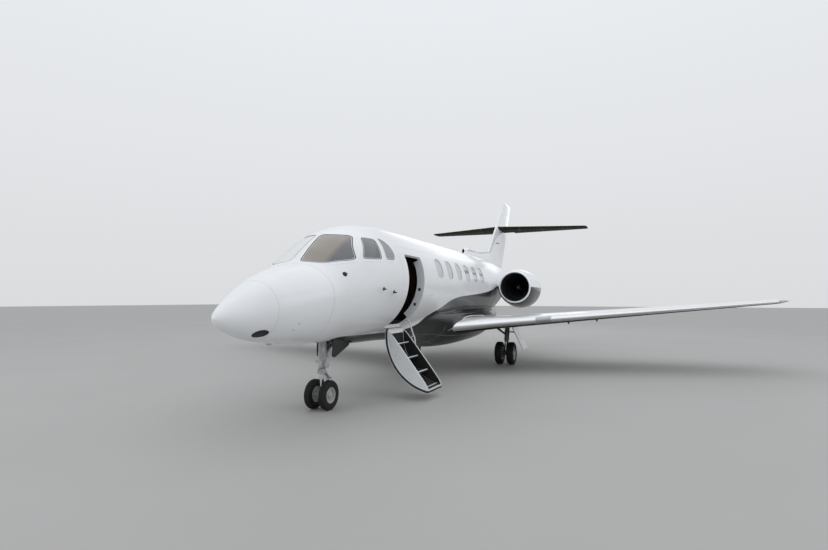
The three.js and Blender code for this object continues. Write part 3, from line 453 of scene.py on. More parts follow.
def gloss_paint(name, two_tone, clean=WHITE, soiled=WHITE_SOILED, sheen=(0.16, 0.27), coat=0.6):
    """Gloss paint of one colour, or split into white and charcoal by the piece's tone."""
    made, tree = new_material(name)
    place = add_node(tree, "ShaderNodeTexCoord")
    film = add_node(tree, "ShaderNodeTexNoise", {"Scale": 1.6, "Detail": 6.0, "Roughness": 0.6},
                    {"Vector": place.outputs["Object"]})
    grime = add_node(tree, "ShaderNodeMapRange", {"From Min": 0.42, "From Max": 0.72},
                     {"Value": film.outputs[0]})
    white = add_node(tree, "ShaderNodeMix", {6: linear(clean), 7: linear(soiled)},
                     {0: grime.outputs[0]}, data_type="RGBA")
    colour = white.outputs[2]
    if two_tone:
        tone = add_node(tree, "ShaderNodeAttribute", attribute_name="tone")
        side = add_node(tree, "ShaderNodeMapRange", {"From Min": -0.003, "From Max": 0.003},
                        {"Value": tone.outputs["Fac"]})
        dark = add_node(tree, "ShaderNodeMix", {6: linear(CHARCOAL), 7: linear(CHARCOAL_SOILED)},
                        {0: grime.outputs[0]}, data_type="RGBA")
        colour = add_node(tree, "ShaderNodeMix", None,
                          {0: side.outputs[0], 6: dark.outputs[2], 7: white.outputs[2]},
                          data_type="RGBA").outputs[2]
    gloss = add_node(tree, "ShaderNodeMapRange", {"To Min": sheen[0], "To Max": sheen[1]},
                     {"Value": film.outputs[0]})
    peel = add_node(tree, "ShaderNodeTexNoise", {"Scale": PEEL, "Detail": 2.0},
                    {"Vector": place.outputs["Object"]})
    ripple = add_node(tree, "ShaderNodeBump", {"Strength": 0.05, "Distance": 0.001},
                      {"Height": peel.outputs[0]})
    paint = add_node(
        tree, "ShaderNodeBsdfPrincipled",
        {"IOR": 1.42 if coat else 1.2, "Coat Weight": coat, "Coat Roughness": 0.06},
        {"Base Color": colour, "Roughness": gloss.outputs[0], "Normal": ripple.outputs[0]})
    finish_material(tree, paint)
    return made


hull_paint = gloss_paint("polyurethane_two_tone", True, coat=0.2)
NOISE, CELLS, WAVES = "ShaderNodeTexNoise", "ShaderNodeTexVoronoi", "ShaderNodeTexWave"


def patterned(name, pattern, tones, constants, edges=None, gloss=None, bump=None, kind=NOISE, **settings):
    """A material whose one pattern mixes its tones and may set its roughness and its relief.
    The edges are the pattern's values between which the first tone gives way to the second."""
    made, tree = new_material(name)
    place = add_node(tree, "ShaderNodeTexCoord")
    drawn = add_node(tree, kind, pattern, {"Vector": place.outputs["Object"]}, **settings)
    share, links, constants = drawn, {}, dict(constants)
    if edges:
        share = add_node(tree, "ShaderNodeMapRange", {"From Min": edges[0], "From Max": edges[1]},
                         {"Value": drawn.outputs[0]})
    if len(tones) > 1:
        mixed = add_node(tree, "ShaderNodeMix", {6: linear(tones[0]), 7: linear(tones[1])},
                         {0: share.outputs[0]}, data_type="RGBA")
        links["Base Color"] = mixed.outputs[2]
    else:
        constants["Base Color"] = linear(tones[0])
    if gloss:
        rough = add_node(tree, "ShaderNodeMapRange", {"To Min": gloss[0], "To Max": gloss[1]},
                         {"Value": drawn.outputs[0]})
        links["Roughness"] = rough.outputs[0]
    if bump:
        relief = add_node(tree, "ShaderNodeBump", {"Strength": bump[0], "Distance": bump[1]},
                          {"Height": drawn.outputs[0]})
        links["Normal"] = relief.outputs[0]
    finish_material(tree, add_node(tree, "ShaderNodeBsdfPrincipled", constants, links))
    return made


# Cabin lining: suede-like headliner glued inside the hull; matt with a soft sheen. Its brown-grey is
# darkened as painted shade for the dim cabin.
lining = patterned("suede_headliner", {"Scale": 120.0, "Detail": 4.0}, ("5c5751", "746e66"),
                   {"Roughness": 0.95, "Sheen Weight": 0.3})
white_paint = gloss_paint("polyurethane_white", False)

RADOME_END, NOSE_END, COCKPIT_END, CABIN_END, TAIL_END = 0.62, 1.40, 3.12, 9.00, 14.30
hull_wall("nose_cone_skin", 0.0, RADOME_END - SEAM_GAP, 0.02, [], hull_paint, ["nose_cone"],
          depths=(0.0, 0.004))
hull_wall("nose_section_skin", RADOME_END + SEAM_GAP, NOSE_END - SEAM_GAP, 0.04, [], hull_paint,
          ["nose_section"])
hull_wall("cockpit_skin", NOSE_END + SEAM_GAP, COCKPIT_END - SEAM_GAP, 0.05,
          [*cockpit_holes, *map(mirrored_hole, cockpit_holes), bay_hole], [hull_paint, lining],
          ["cockpit_shell"])
hull_wall("cabin_skin", COCKPIT_END + SEAM_GAP, CABIN_END - SEAM_GAP, 0.09,
          [*window_holes, *map(mirrored_hole, window_holes), door_hole], [hull_paint, lining],
          ["cabin_shell"])
hull_wall("tail_skin", CABIN_END + SEAM_GAP, TAIL_END, 0.09, [], hull_paint,
          ["rear_fuselage"])

# Skin seams and hatches: butt joints between the panels, filled with grey sealant and left a hair
# proud, and hatches held by quarter-turn fasteners. Real seams are 2 to 3 mm wide; they are drawn
# 4 mm wide so that they show.


def loft(rings, closed=True, caps=True):
    """Corners and faces of a skin over rings with equal counts of points."""
    rings = np.asarray(rings, float)
    rows, sides = rings.shape[:2]
    faces = [
        (i * sides + k, i * sides + (k + 1) % sides, (i + 1) * sides + (k + 1) % sides, (i + 1) * sides + k)
        for i in range(rows - 1) for k in range(sides if closed else sides - 1)
    ]
    if caps:
        faces += [tuple(range(sides)), tuple((rows - 1) * sides + k for k in range(sides))]
    return rings.reshape(-1, 3), faces


def mirrored(shape):
    """The same shape on the starboard side."""
    return (np.asarray(shape[0], float) * (-1, 1, 1), shape[1], *shape[2:])


def clean_mesh(name, shapes):
    """One mesh from closed shapes, merged at its doubles and facing outwards."""
    verts, faces, numbers = [], [], []
    for points, polygons, *marks in shapes:
        faces += [tuple(int(i) + len(verts) for i in polygon) for polygon in polygons]
        mark = marks[0] if marks else 0
        numbers += list(mark) if hasattr(mark, "__len__") else [mark] * len(polygons)
        verts += [tuple(float(c) for c in p) for p in points]
    mesh = bpy.data.meshes.new(name)
    mesh.from_pydata(verts, [], faces)
    mesh.polygons.foreach_set("material_index", numbers)
    work = bmesh.new()
    work.from_mesh(mesh)
    bmesh.ops.remove_doubles(work, verts=work.verts, dist=2e-5)
    bmesh.ops.dissolve_degenerate(work, edges=work.edges, dist=1e-5)
    bmesh.ops.recalc_face_normals(work, faces=work.faces)
    work.to_mesh(mesh)
    work.free()
    return mesh


def build(name, shapes, materials, body, replaces=(), sharp=32.0, bevel=0.0, toned=None):
    """Joins shapes, each corners, faces and perhaps a material's number, into one named piece."""
    mesh = clean_mesh(name, shapes)
    mesh.polygons.foreach_set("use_smooth", [True] * len(mesh.polygons))
    mesh.set_sharp_from_angle(angle=math.radians(sharp))
    finished(mesh, materials, toned(np.array([v.co for v in mesh.vertices])) if toned else None)
    piece = new_object(name, mesh)
    if bevel:
        round_off = piece.modifiers.new("round_off", "BEVEL")
        round_off.width = bevel
        round_off.segments = 2
        round_off.limit_method = "ANGLE"
        round_off.angle_limit = math.radians(40)
        round_off.harden_normals = False
    return carried(piece, body, replaces)


def ribbon(points, normals, width, lift=0.0006, sink=0.002, closed=False, shift=0.0):
    """A flat strip laid along a line on a surface, as a closed thin bar.
    The shift moves it sideways, which is outwards on a closed line."""
    points, normals = np.asarray(points, float), np.asarray(normals, float)
    if closed:
        ahead = np.roll(points, -1, axis=0) - np.roll(points, 1, axis=0)
    else:
        ahead = np.gradient(points, axis=0)
    side = np.cross(ahead, normals)
    side /= np.linalg.norm(side, axis=1)[:, None]
    if closed and (side * (points - points.mean(0))).sum() < 0:
        side = -side
    points = points + side * shift
    side *= width / 2
    rings = np.stack([points + side - normals * sink, points + side + normals * lift,
                      points - side + normals * lift, points - side - normals * sink], 1)
    if closed:
        rings = np.concatenate([rings, rings[:1]])
    return loft(rings, caps=not closed)


def hull_ribbon(line, width, closed=False, **depths):
    """A strip along a line of [station, angle] on the hull."""
    line = np.asarray(line, float)
    return ribbon(hull_points(*line.T), hull_normals(*line.T), width, closed=closed, **depths)


def hull_ring(station):
    """Places round the hull at one station."""
    return [(station, a) for a in np.linspace(CROWN - math.tau, CROWN, 120)]


# Polysulphide sealant: dull grey rubber wiped flush, slightly uneven along the joint.
SEAM_WIDTH = 0.004
sealant = patterned("polysulphide_sealant", {"Scale": 9.0, "Detail": 3.0}, ("cdd0d2", "b9bdc0"),
                    {"Roughness": 0.55})

ring_seams = [RADOME_END, NOSE_END, COCKPIT_END, CABIN_END, 11.40, 13.05]
seams = [hull_ribbon(hull_ring(s)[:-1], SEAM_WIDTH, closed=True) for s in ring_seams]
LONG_SEAMS = [(3.16, 8.98, 0.62), (3.16, 8.98, 1.13), (9.04, 13.0, 0.55)]
for first, last, angle in LONG_SEAMS:
    for a in (angle, -math.pi - angle):
        seams.append(hull_ribbon([(s, a) for s in np.linspace(first, last, 60)], SEAM_WIDTH))
# Columns: first station, last station, lower edge, upper edge, sides: 1 port, -1 starboard.
HATCHES = [
    (0.76, 1.28, 1.50, 1.86, (-1,)),
    (7.62, 8.28, 1.99, 2.14, (1, -1)),
    (9.42, 9.98, 1.45, 1.92, (-1,)),
    (11.62, 12.22, 2.02, 2.40, (1,)),
    (1.60, 1.94, 1.36, 1.56, (-1,)),
    (6.56, 6.92, 2.08, 2.58, (-1,)),
]
hatch_lines = []
for first, last, low, high, sides in HATCHES:
    outline = side_hole(spaced(rounded(rectangle(first, last, low, high), 0.04), 0.03))
    for way in sides:
        line = outline if way > 0 else mirrored_hole(outline)
        hatch_lines.append(line)
        seams.append(hull_ribbon(line, SEAM_WIDTH, closed=True))
build("fuselage_seams", seams, sealant, "airframe")


def evaluated(piece):
    """The mesh that an object's modifiers make."""
    graph = bpy.context.evaluated_depsgraph_get()
    return bpy.data.meshes.new_from_object(piece.evaluated_get(graph))


def repeated(name, points, normals, template, material, body, size):
    """Copies of a small template at each point, turned to its normal, made by Geometry Nodes."""
    carrier = bpy.data.meshes.new(name)
    carrier.from_pydata([tuple(p) for p in points], [], [])
    carrier.attributes.new("facing", "FLOAT_VECTOR", "POINT").data.foreach_set(
        "vector", np.asarray(normals, np.float32).ravel())
    holder = new_object(name, carrier)
    pattern = bpy.data.meshes.new(name + "_template")
    pattern.from_pydata([tuple(p) for p in template[0]], [], [tuple(f) for f in template[1]])
    pattern.polygons.foreach_set("use_smooth", [True] * len(pattern.polygons))
    pattern.set_sharp_from_angle(angle=math.radians(40))
    sample = new_object(name + "_template", pattern)
    tree = bpy.data.node_groups.new(name + "_nodes", "GeometryNodeTree")
    face = tree.interface
    face.new_socket("Geometry", in_out="INPUT", socket_type="NodeSocketGeometry")
    shape = face.new_socket("Template", in_out="INPUT", socket_type="NodeSocketObject")
    scale = face.new_socket("Size", in_out="INPUT", socket_type="NodeSocketFloat")
    finish = face.new_socket("Finish", in_out="INPUT", socket_type="NodeSocketMaterial")
    face.new_socket("Geometry", in_out="OUTPUT", socket_type="NodeSocketGeometry")
    given = add_node(tree, "NodeGroupInput")
    one = add_node(tree, "GeometryNodeObjectInfo", links={"Object": given.outputs["Template"]})
    dots = add_node(tree, "GeometryNodeMeshToPoints", links={"Mesh": given.outputs["Geometry"]})
    facing = add_node(tree, "GeometryNodeInputNamedAttribute", {"Name": "facing"},
                      data_type="FLOAT_VECTOR")
    turn = add_node(tree, "FunctionNodeAlignRotationToVector",
                    links={"Vector": facing.outputs["Attribute"]}, axis="Z")
    copies = add_node(tree, "GeometryNodeInstanceOnPoints",
                      links={"Points": dots.outputs[0], "Instance": one.outputs["Geometry"],
                             "Rotation": turn.outputs[0], "Scale": given.outputs["Size"]})
    real = add_node(tree, "GeometryNodeRealizeInstances", links={"Geometry": copies.outputs[0]})
    coated = add_node(tree, "GeometryNodeSetMaterial",
                      links={"Geometry": real.outputs[0], "Material": given.outputs["Finish"]})
    add_node(tree, "NodeGroupOutput", links={"Geometry": coated.outputs[0]})
    maker = holder.modifiers.new("repeat", "NODES")
    maker.node_group = tree
    maker[shape.identifier] = sample
    maker[scale.identifier] = size
    maker[finish.identifier] = material
    joined = evaluated(holder)
    joined.name = name
    holder.modifiers.clear()
    holder.data = joined
    bpy.data.objects.remove(sample)
    return carried(holder, body)


def turned(profile, centre=(0, 0, 0), axis="y", sides=48):
    """Skin of revolution about a line along x, y or z, from [distance along, radius]."""
    angles = np.arange(sides) * math.tau / sides
    rings = []
    for along, radius in profile:
        ring = np.stack([radius * np.cos(angles), radius * np.sin(angles), np.full(sides, along)], 1)
        rings.append({"z": ring, "y": ring[:, [0, 2, 1]], "x": ring[:, [2, 0, 1]]}[axis] + centre)
    ends_open = profile[0][1] > 1e-6 or profile[-1][1] > 1e-6
    closed_ring = tuple(profile[0]) == tuple(profile[-1])
    return loft(rings, caps=ends_open and not closed_ring)


# Quarter-turn fasteners along the hatch edges: plated steel heads 9 mm across with a chamfer,
# which glint a little against the paint.
FASTENER = turned([(-0.001, 0.0), (-0.001, 1.0), (0.10, 1.0), (0.16, 0.88), (0.16, 0.0)],
                  axis="z", sides=10)
FASTENER_PITCH = 0.085
FASTENER_INSET = 0.022
FASTENER_RADIUS = 0.0045
steel_heads = patterned("plated_steel_heads", {"Scale": 60.0}, ("b9bcbe",), {"Metallic": 0.6},
                        gloss=(0.3, 0.5))
heads = []
for line in hatch_lines:
    inwards = line.mean(0) - line
    inner = line + inwards / np.linalg.norm(inwards * (1, REACH), axis=1)[:, None] * FASTENER_INSET
    points = hull_points(*inner.T)
    walked = np.concatenate([[0], np.linalg.norm(np.diff(points, axis=0), axis=1).cumsum()])
    for d in np.arange(0, walked[-1], FASTENER_PITCH):
        heads.append([np.interp(d, walked, column) for column in inner.T])
heads = np.array(heads)
repeated("hatch_fasteners", hull_points(*heads.T), hull_normals(*heads.T), FASTENER, steel_heads,
         "airframe", FASTENER_RADIUS)

# Windows: stretched acrylic cabin panes and a laminated glass windscreen, let in nearly flush.
# The windscreen sits on black sealant and the cabin panes on grey, each inside a white clamp frame;
# pleated shades are drawn behind most.


def hull_patch(outline, depths, step=0.05, pleat=0.0):
    """A piece of the hull's form inside an outline, between two depths, perhaps pleated."""
    low, high = outline.min(0), outline.max(0)
    flat, faces = flat_pattern(np.arange(low[0], high[0], step), np.arange(low[1], high[1], step / 4),
                               [], outline)
    fold = pleat * np.abs(2 * (hull_points(*flat.T)[:, 2] / (6 * pleat or 1) % 1) - 1)[:, None]
    return hull_sheet(flat, faces, [depth + fold for depth in depths])


def hull_panel(*patch, **more):
    """The corners and faces of such a piece."""
    return hull_patch(*patch, **more)[:2]


SIDES = (("left", 1), ("right", -1))


def both_sides(shapes):
    """The shapes and their mirror images."""
    return [*shapes, *map(mirrored, shapes)]


def sided(shapes, way):
    """The shapes as drawn to port, or for a way of -1 their mirror images to starboard."""
    return shapes if way > 0 else [mirrored(shape) for shape in shapes]


# Laminated heated glass: bright reflections, slightly see-through. Its colours are painted reflections:
# brown-grey on the windscreen, darker grey where the panes turn back along the sides, blue-grey on the
# aft side panes and near white on the starboard front pane.
glass, tree = new_material("laminated_glass")
place = add_node(tree, "ShaderNodeTexCoord")
smear = add_node(tree, "ShaderNodeTexNoise", {"Scale": 2.2, "Detail": 5.0},
                 {"Vector": place.outputs["Object"]})
haze = add_node(tree, "ShaderNodeMapRange", {"To Min": 0.02, "To Max": 0.07}, {"Value": smear.outputs[0]})
parts = add_node(tree, "ShaderNodeSeparateXYZ", links={"Vector": place.outputs["Object"]})
across = add_node(tree, "ShaderNodeMath", links={0: parts.outputs["X"]}, operation="ABSOLUTE")
turned_back = add_node(tree, "ShaderNodeMapRange", {"From Min": 0.42, "From Max": 0.50},
                       {"Value": across.outputs[0]})
# Painted reflection: brown-grey, turning darker grey where the glass turns back along the sides.
painted_reflection = add_node(tree, "ShaderNodeMix", {6: linear("8d857a"), 7: linear("585a5d")},
                {0: turned_back.outputs[0]}, data_type="RGBA")
leant = add_node(tree, "ShaderNodeMath", {1: -0.35}, {0: parts.outputs["Z"], 2: parts.outputs["Y"]},
                 operation="MULTIPLY_ADD")
aft = add_node(tree, "ShaderNodeMapRange", {"From Min": -6.02, "From Max": -5.99},
               {"Value": leant.outputs[0]})
# Painted reflection: blue-grey on the aft side panes.
painted_reflection = add_node(tree, "ShaderNodeMix", {7: linear("8a929b")},
                {0: aft.outputs[0], 6: painted_reflection.outputs[2]}, data_type="RGBA")
# The starboard front pane is painted near white: a painted reflection of the bright sky it faces.
sky_side = add_node(tree, "ShaderNodeMapRange", {"From Min": 0.03, "From Max": -0.03},
                    {"Value": parts.outputs["X"]})
front = add_node(tree, "ShaderNodeMapRange", {"From Min": -6.20, "From Max": -6.25},
                 {"Value": leant.outputs[0]})
pale = add_node(tree, "ShaderNodeMath", None, {0: sky_side.outputs[0], 1: front.outputs[0]},
                operation="MULTIPLY")
painted_reflection = add_node(tree, "ShaderNodeMix", {7: linear("f4f5f6")}, {0: pale.outputs[0], 6: painted_reflection.outputs[2]},
                data_type="RGBA")
pane = add_node(tree, "ShaderNodeBsdfPrincipled",
                {"IOR": 1.52, "Alpha": 0.84, "Coat Weight": 1.0, "Coat Roughness": 0.02},
                {"Base Color": painted_reflection.outputs[2], "Roughness": haze.outputs[0]})
finish_material(tree, pane)

# Stretched acrylic: clear and a little blue at its edges.
acrylic = patterned("stretched_acrylic", {"Scale": 4.0, "Detail": 3.0}, ("dde1e4",),
                    {"IOR": 1.49, "Alpha": 0.22, "Coat Weight": 1.0}, gloss=(0.03, 0.1))

# Pleated polyester shade cloth: matt, off-white, finely woven.
shade_cloth = patterned("pleated_shade_cloth", {"Scale": 160.0, "Distortion": 0.6}, ("dfe0df", "ebebe9"),
                        {"Roughness": 0.85, "Sheen Weight": 0.2}, bump=(0.2, 0.001), kind=WAVES,
                        bands_direction="Z")

# Black sealant round the panes: dull rubber with a slightly uneven skin.
black_seal = patterned("black_window_sealant", {"Scale": 35.0}, ("1b1c1d", "2c2d2e"), {"Roughness": 0.6})

PANE_DEPTHS = (0.004, 0.020)
for side, way in SIDES:
    sheet_piece(f"cockpit_panes_{side}", [hull_patch(hole, PANE_DEPTHS) for hole in cockpit_holes],
                glass, [f"cockpit_glazing_{side}"], side=way)
    sheet_piece(f"cabin_panes_{side}", [hull_patch(hole, (0.003, 0.009), 0.08) for hole in window_holes],
                acrylic, [f"cabin_glazing_{side}"], side=way)
SHADE_DEPTHS = (0.013, 0.015)
SHADE_GAP = (0.46, 0.62)  # share of the last windows' height left open between two shades
shades = []
for i, hole in enumerate(window_holes):
    low, high = hole[:, 1].min(), hole[:, 1].max()
    parts_open = SHADE_GAP if i >= 3 else (1.0, 1.0)
    for reach in ((low, low + parts_open[0] * (high - low)), (low + parts_open[1] * (high - low), high)):
        drawn = np.stack([hole[:, 0], np.clip(hole[:, 1], *reach)], 1)
        if reach[1] - reach[0] > 0.02:
            shades.append(hull_panel(drawn, SHADE_DEPTHS, 0.08, pleat=0.004))
build("window_shades", both_sides(shades), shade_cloth, "airframe", sharp=20.0)
FRAME = {"width": 0.046, "lift": 0.0016, "seal": 0.011}
frame_shapes, seal_shapes = [], []
for hole in cockpit_holes:
    frame_shapes.append(hull_ribbon(hole, FRAME["width"], True, shift=FRAME["width"] / 2 + 0.004,
                                    lift=FRAME["lift"]))
    seal_shapes.append(hull_ribbon(hole, FRAME["seal"], True, lift=0.0012))
    frame_shapes.append(hull_ribbon(hole, 0.007, True, shift=-0.014, lift=-0.0025, sink=0.006))
pane_seals = []
for hole in window_holes:
    pane_seals.append(hull_ribbon(hole, 0.009, True, lift=0.0008))
    frame_shapes.append(hull_ribbon(hole, 0.012, True, shift=0.011, lift=0.0012))
build("window_frames", both_sides(frame_shapes), white_paint, "airframe")
build("windscreen_seals", both_sides(seal_shapes), black_seal, "airframe")
build("window_seals", both_sides(pane_seals), sealant, "airframe")

# Belly fairing: glass-fibre skin that carries the wing under the fuselage and blends into it
# with a filleted edge; charcoal, with removable pans along its keel.
# Columns: station, half width, top, bottom, height of the greatest width.
BELLY = [
    (2.42, 0.150, 1.250, 1.030, 1.150), (2.70, 0.290, 1.300, 0.965, 1.160),
    (3.90, 0.340, 1.300, 0.935, 1.170), (4.50, 0.560, 1.400, 0.905, 1.260),
    (5.20, 0.720, 1.500, 0.835, 1.320), (5.70, 0.800, 1.530, 0.720, 1.300),
    (6.20, 0.870, 1.560, 0.610, 1.285), (7.50, 0.960, 1.580, 0.565, 1.275),
    (8.80, 0.960, 1.565, 0.585, 1.280), (9.50, 0.890, 1.560, 0.700, 1.310),
    (10.20, 0.750, 1.580, 0.930, 1.380), (10.90, 0.500, 1.640, 1.200, 1.480),
    (11.30, 0.260, 1.700, 1.350, 1.570),
]
FILLET = 0.07


def ray_reach(rows, middle, angle):
    """How far an oval section reaches from a middle height in each direction."""
    low, high = np.zeros(len(angle)), np.full(len(angle), 3.0)
    half, top, bottom, level = rows.T
    for _ in range(32):
        mid = (low + high) / 2
        x, z = mid * np.cos(angle), middle + mid * np.sin(angle) - level
        inside = (x / half) ** 2 + (z / np.where(z > 0, top - level, level - bottom)) ** 2 < 1
        low, high = np.where(inside, mid, low), np.where(inside, high, mid)
    return low


def belly_sheets(station, angle):
    """Points on the fairing and just under the hull's skin, seen from a middle inside both."""
    hull_rows, belly_rows = smooth_rows(HULL, station), smooth_rows(BELLY, station)
    middle = (np.maximum(hull_rows[:, 2], belly_rows[:, 2]) + belly_rows[:, 1]) / 2
    hull_reach, belly_reach = (ray_reach(rows, middle, angle) for rows in (hull_rows, belly_rows))
    near = np.maximum(FILLET - np.abs(hull_reach - belly_reach), 0) / FILLET
    outer = np.maximum(hull_reach, belly_reach) + near**2 * FILLET / 4
    outer = np.where(outer > hull_reach + 1e-4, outer, hull_reach - 0.002)
    places = []
    for reach in (outer, hull_reach - 0.012):
        places.append(np.stack([reach * np.cos(angle), station - MIDDLE, middle + reach * np.sin(angle)], 1))
    return places


belly_stations = np.linspace(BELLY[0][0], BELLY[-1][0], 150)
BELLY_ARC = (-math.pi - 0.55, 0.55)
flat, faces = flat_pattern(belly_stations, np.linspace(*BELLY_ARC, 91), [])
middles = (flat[faces][:, :, 0].mean(1), flat[faces][:, :, 1].mean(1))
in_well = (middles[0] < NOSE_BAY["back"] + 0.01) & (np.abs(np.cos(middles[1])) < 0.78)
outer, inner = belly_sheets(*flat.T)
proud = np.linalg.norm(outer - inner, axis=1) > 0.0115
faces = faces[~in_well & proud[faces].any(1)]
a, b, c = (outer[faces[:, k]] for k in range(3))
inwards = (np.cross(b - a, c - a) * (outer - (0, 0, 1.3))[faces[:, 0]] * (1, 0, 1)).sum(1) < 0
faces[inwards] = faces[inwards][:, ::-1]
belly_skin = walled(outer, outer, inner, inner, faces)[:2]
build("belly_skin", [belly_skin], hull_paint, "airframe", ["belly_fairing"],
      sharp=50.0, toned=tone_of)


def belly_points(station, angle):
    """Points of the fairing's outside."""
    return belly_sheets(station, angle)[0]


def draped(place, line, width, closed=False, **depths):
    """A strip along a line on any surface given by a place function of two numbers."""
    u, v = np.asarray(line, float).T
    points = place(u, v)
    normal = np.cross(place(u + 0.004, v) - points, place(u, v + 0.004) - points)
    return ribbon(points, normal / np.linalg.norm(normal, axis=1)[:, None], width, closed=closed, **depths)


pan_joints = [[(s, a) for s in np.linspace(4.5, 10.4, 90)]
              for a in (-0.55, -1.05, -math.pi + 0.55, -math.pi + 1.05)]
pan_joints += [[(s, a) for a in np.linspace(-math.pi + 0.2, -0.2, 50)]
               for s in (4.5, 5.7, 6.9, 8.1, 9.5, 10.4)]
build("belly_seams", [draped(belly_points, line, SEAM_WIDTH) for line in pan_joints], sealant, "airframe")

# Wings: machined skins on spars, with a polished leading edge, white above and charcoal below.
# The flaps and ailerons have round noses that turn in a cove on piano hinges.
# Columns: distance out, leading edge, trailing edge, height, thickness to chord.
WING = [
    (0.76, 5.977, 9.544, 1.096, 0.104), (1.45, 6.820, 9.665, 1.143, 0.108),
    (4.30, 8.034, 10.167, 1.386, 0.096), (7.56, 9.425, 10.741, 1.663, 0.086),
    (7.83, 9.640, 10.700, 1.688, 0.050),
]
TAILPLANE = [
    (0.052, 13.275, 15.014, 4.351, 0.100), (2.92, 14.560, 15.370, 4.426, 0.090),
    (3.05, 14.700, 15.330, 4.431, 0.050),
]
FIN = [
    (2.84, 11.410, 13.979, 0.0, 0.095), (3.33, 12.000, 14.290, 0.0, 0.095),
    (4.35, 13.160, 14.930, 0.0, 0.095), (5.40, 14.380, 15.560, 0.0, 0.090),
    (5.51, 14.620, 15.600, 0.0, 0.050),
]
# Columns: inner end of the hinge line, outer end, its station at each.
FLAP = (1.18, 4.32, 8.90, 9.64)
AILERON = (5.15, 7.45, 9.90, 10.36)
ELEVATOR = (0.43, 2.88, 14.494, 15.085)
RUDDER = (3.02, 5.34, 13.52, 15.08)
MOVING_GAP = 0.0062
CHORD = 0.5 - 0.5 * np.cos(np.linspace(0, math.pi, 35))
EDGE_BAND = 0.05  # the polished leading edge reaches this share of the chord


def half_thickness(ratio, c):
    """Half the thickness of a section, as a share of its chord."""
    return 5 * ratio * (0.2969 * np.sqrt(c) - 0.126 * c - 0.3516 * c**2 + 0.2843 * c**3 - 0.1015 * c**4)


def table_row(table, at):
    """A table's columns after its first, read at any place between its rows."""
    columns = np.array(table).T
    return [np.interp(at, columns[0], column) for column in columns[1:]]


def surface_rows(table, spans):
    """Rows of a flying surface at the given spans, then a rounded tip."""
    rows = [[x, *table_row(table, x)] for x in spans]
    inboard, last, tip = np.array(table[-3:])
    straight = (last - inboard) / (last[0] - inboard[0]) * (tip[0] - last[0])
    for t in (0.3, 0.55, 0.75, 0.88, 0.96, 1.0):
        row = last + straight * t + (tip - last - straight) * (1 - math.sqrt(1 - t * t))
        row[0] = last[0] + (tip[0] - last[0]) * t
        row[2] = min(row[2], max(last[2], tip[2]))
        row[4] = last[4] * max(math.sqrt(1 - t * t), 0.1)
        rows.append(row)
    return rows


def flying_surface(rows, upright=False, upper=0, lower=0, edge=0):
    """A closed skin over foil sections, with its materials' numbers."""
    rings = []
    for span, front, back, offset, ratio in rows:
        thick = half_thickness(ratio, CHORD) * (back - front)
        station = front + CHORD * (back - front) - MIDDLE
        outline = [*zip(station, offset + thick), *zip(station[:0:-1], offset - thick[:0:-1])]
        rings.append([(h, y, span) if upright else (span, y, h) for y, h in outline])
    verts, faces = loft(rings)
    count = len(CHORD)
    middle = (CHORD[1:] + CHORD[:-1]) / 2
    marks = [edge if c < EDGE_BAND else upper for c in middle] + [upper]
    marks += [edge if c < EDGE_BAND else lower for c in middle[::-1]]
    return verts, faces, marks[: 2 * count - 1] * (len(rings) - 1) + [upper, upper]


def combined(shape, tool, operation):
    """A closed shape after a cut, an overlap or a join with another closed shape."""
    pair = []
    for given in (shape, tool):
        mesh = clean_mesh("work", [given])
        for _ in range(4):
            mesh.materials.append(None)
        pair.append(new_object("work", mesh))
    cutter = pair[0].modifiers.new("cut", "BOOLEAN")
    cutter.operation = operation
    cutter.object = pair[1]
    cutter.solver = "EXACT"
    made = evaluated(pair[0])
    result = ([tuple(v.co) for v in made.vertices], [tuple(p.vertices) for p in made.polygons],
              [p.material_index for p in made.polygons])
    for used in pair:
        bpy.data.objects.remove(used)
    return result


def hinge_space(hinged, table, upright, margin):
    """The space behind a hinge line: a slab with a round nose on the line, square at its ends."""
    inner, outer, inner_station, outer_station = hinged
    places, radii = [], []
    for span, station in ((inner, inner_station), (outer, outer_station)):
        front, back, offset, ratio = table_row(table, span)
        chord = back - front
        radii.append(1.05 * chord * half_thickness(ratio, (station - front) / chord) + margin)
        y = station - MIDDLE
        places.append(np.array((0, y, span) if upright else (span, y, offset)))
    along = (places[1] - places[0]) / np.linalg.norm(places[1] - places[0])
    up = np.array((1.0, 0, 0) if upright else (0, 0, 1.0))
    aft = np.cross(up, along)
    aft *= math.copysign(1, aft[1]) / np.linalg.norm(aft)
    up = np.cross(along, aft)
    rings = []
    for place, radius, way in ((places[0], radii[0], -1), (places[1], radii[1], 1)):
        nose = [(-radius * math.sin(a), radius * math.cos(a)) for a in np.linspace(0, math.pi, 25)]
        section = [(1.5, -0.45), (1.5, 0.45), (0.0, 0.45), *nose, (0.0, -0.45)]
        middle = place + along * margin * way
        rings.append([middle + aft * u + up * v for u, v in section])
    return loft(rings)


# Polished aluminium: bright, with faint marks along the span from the buffing wheel.
bright_metal = patterned("polished_aluminium", {"Scale": 6.0, "Detail": 6.0}, ("eceeef",), {"Metallic": 1.0},
                         gloss=(0.34, 0.48))

charcoal_paint = gloss_paint("polyurethane_charcoal", False, CHARCOAL, CHARCOAL_SOILED, coat=0.1)
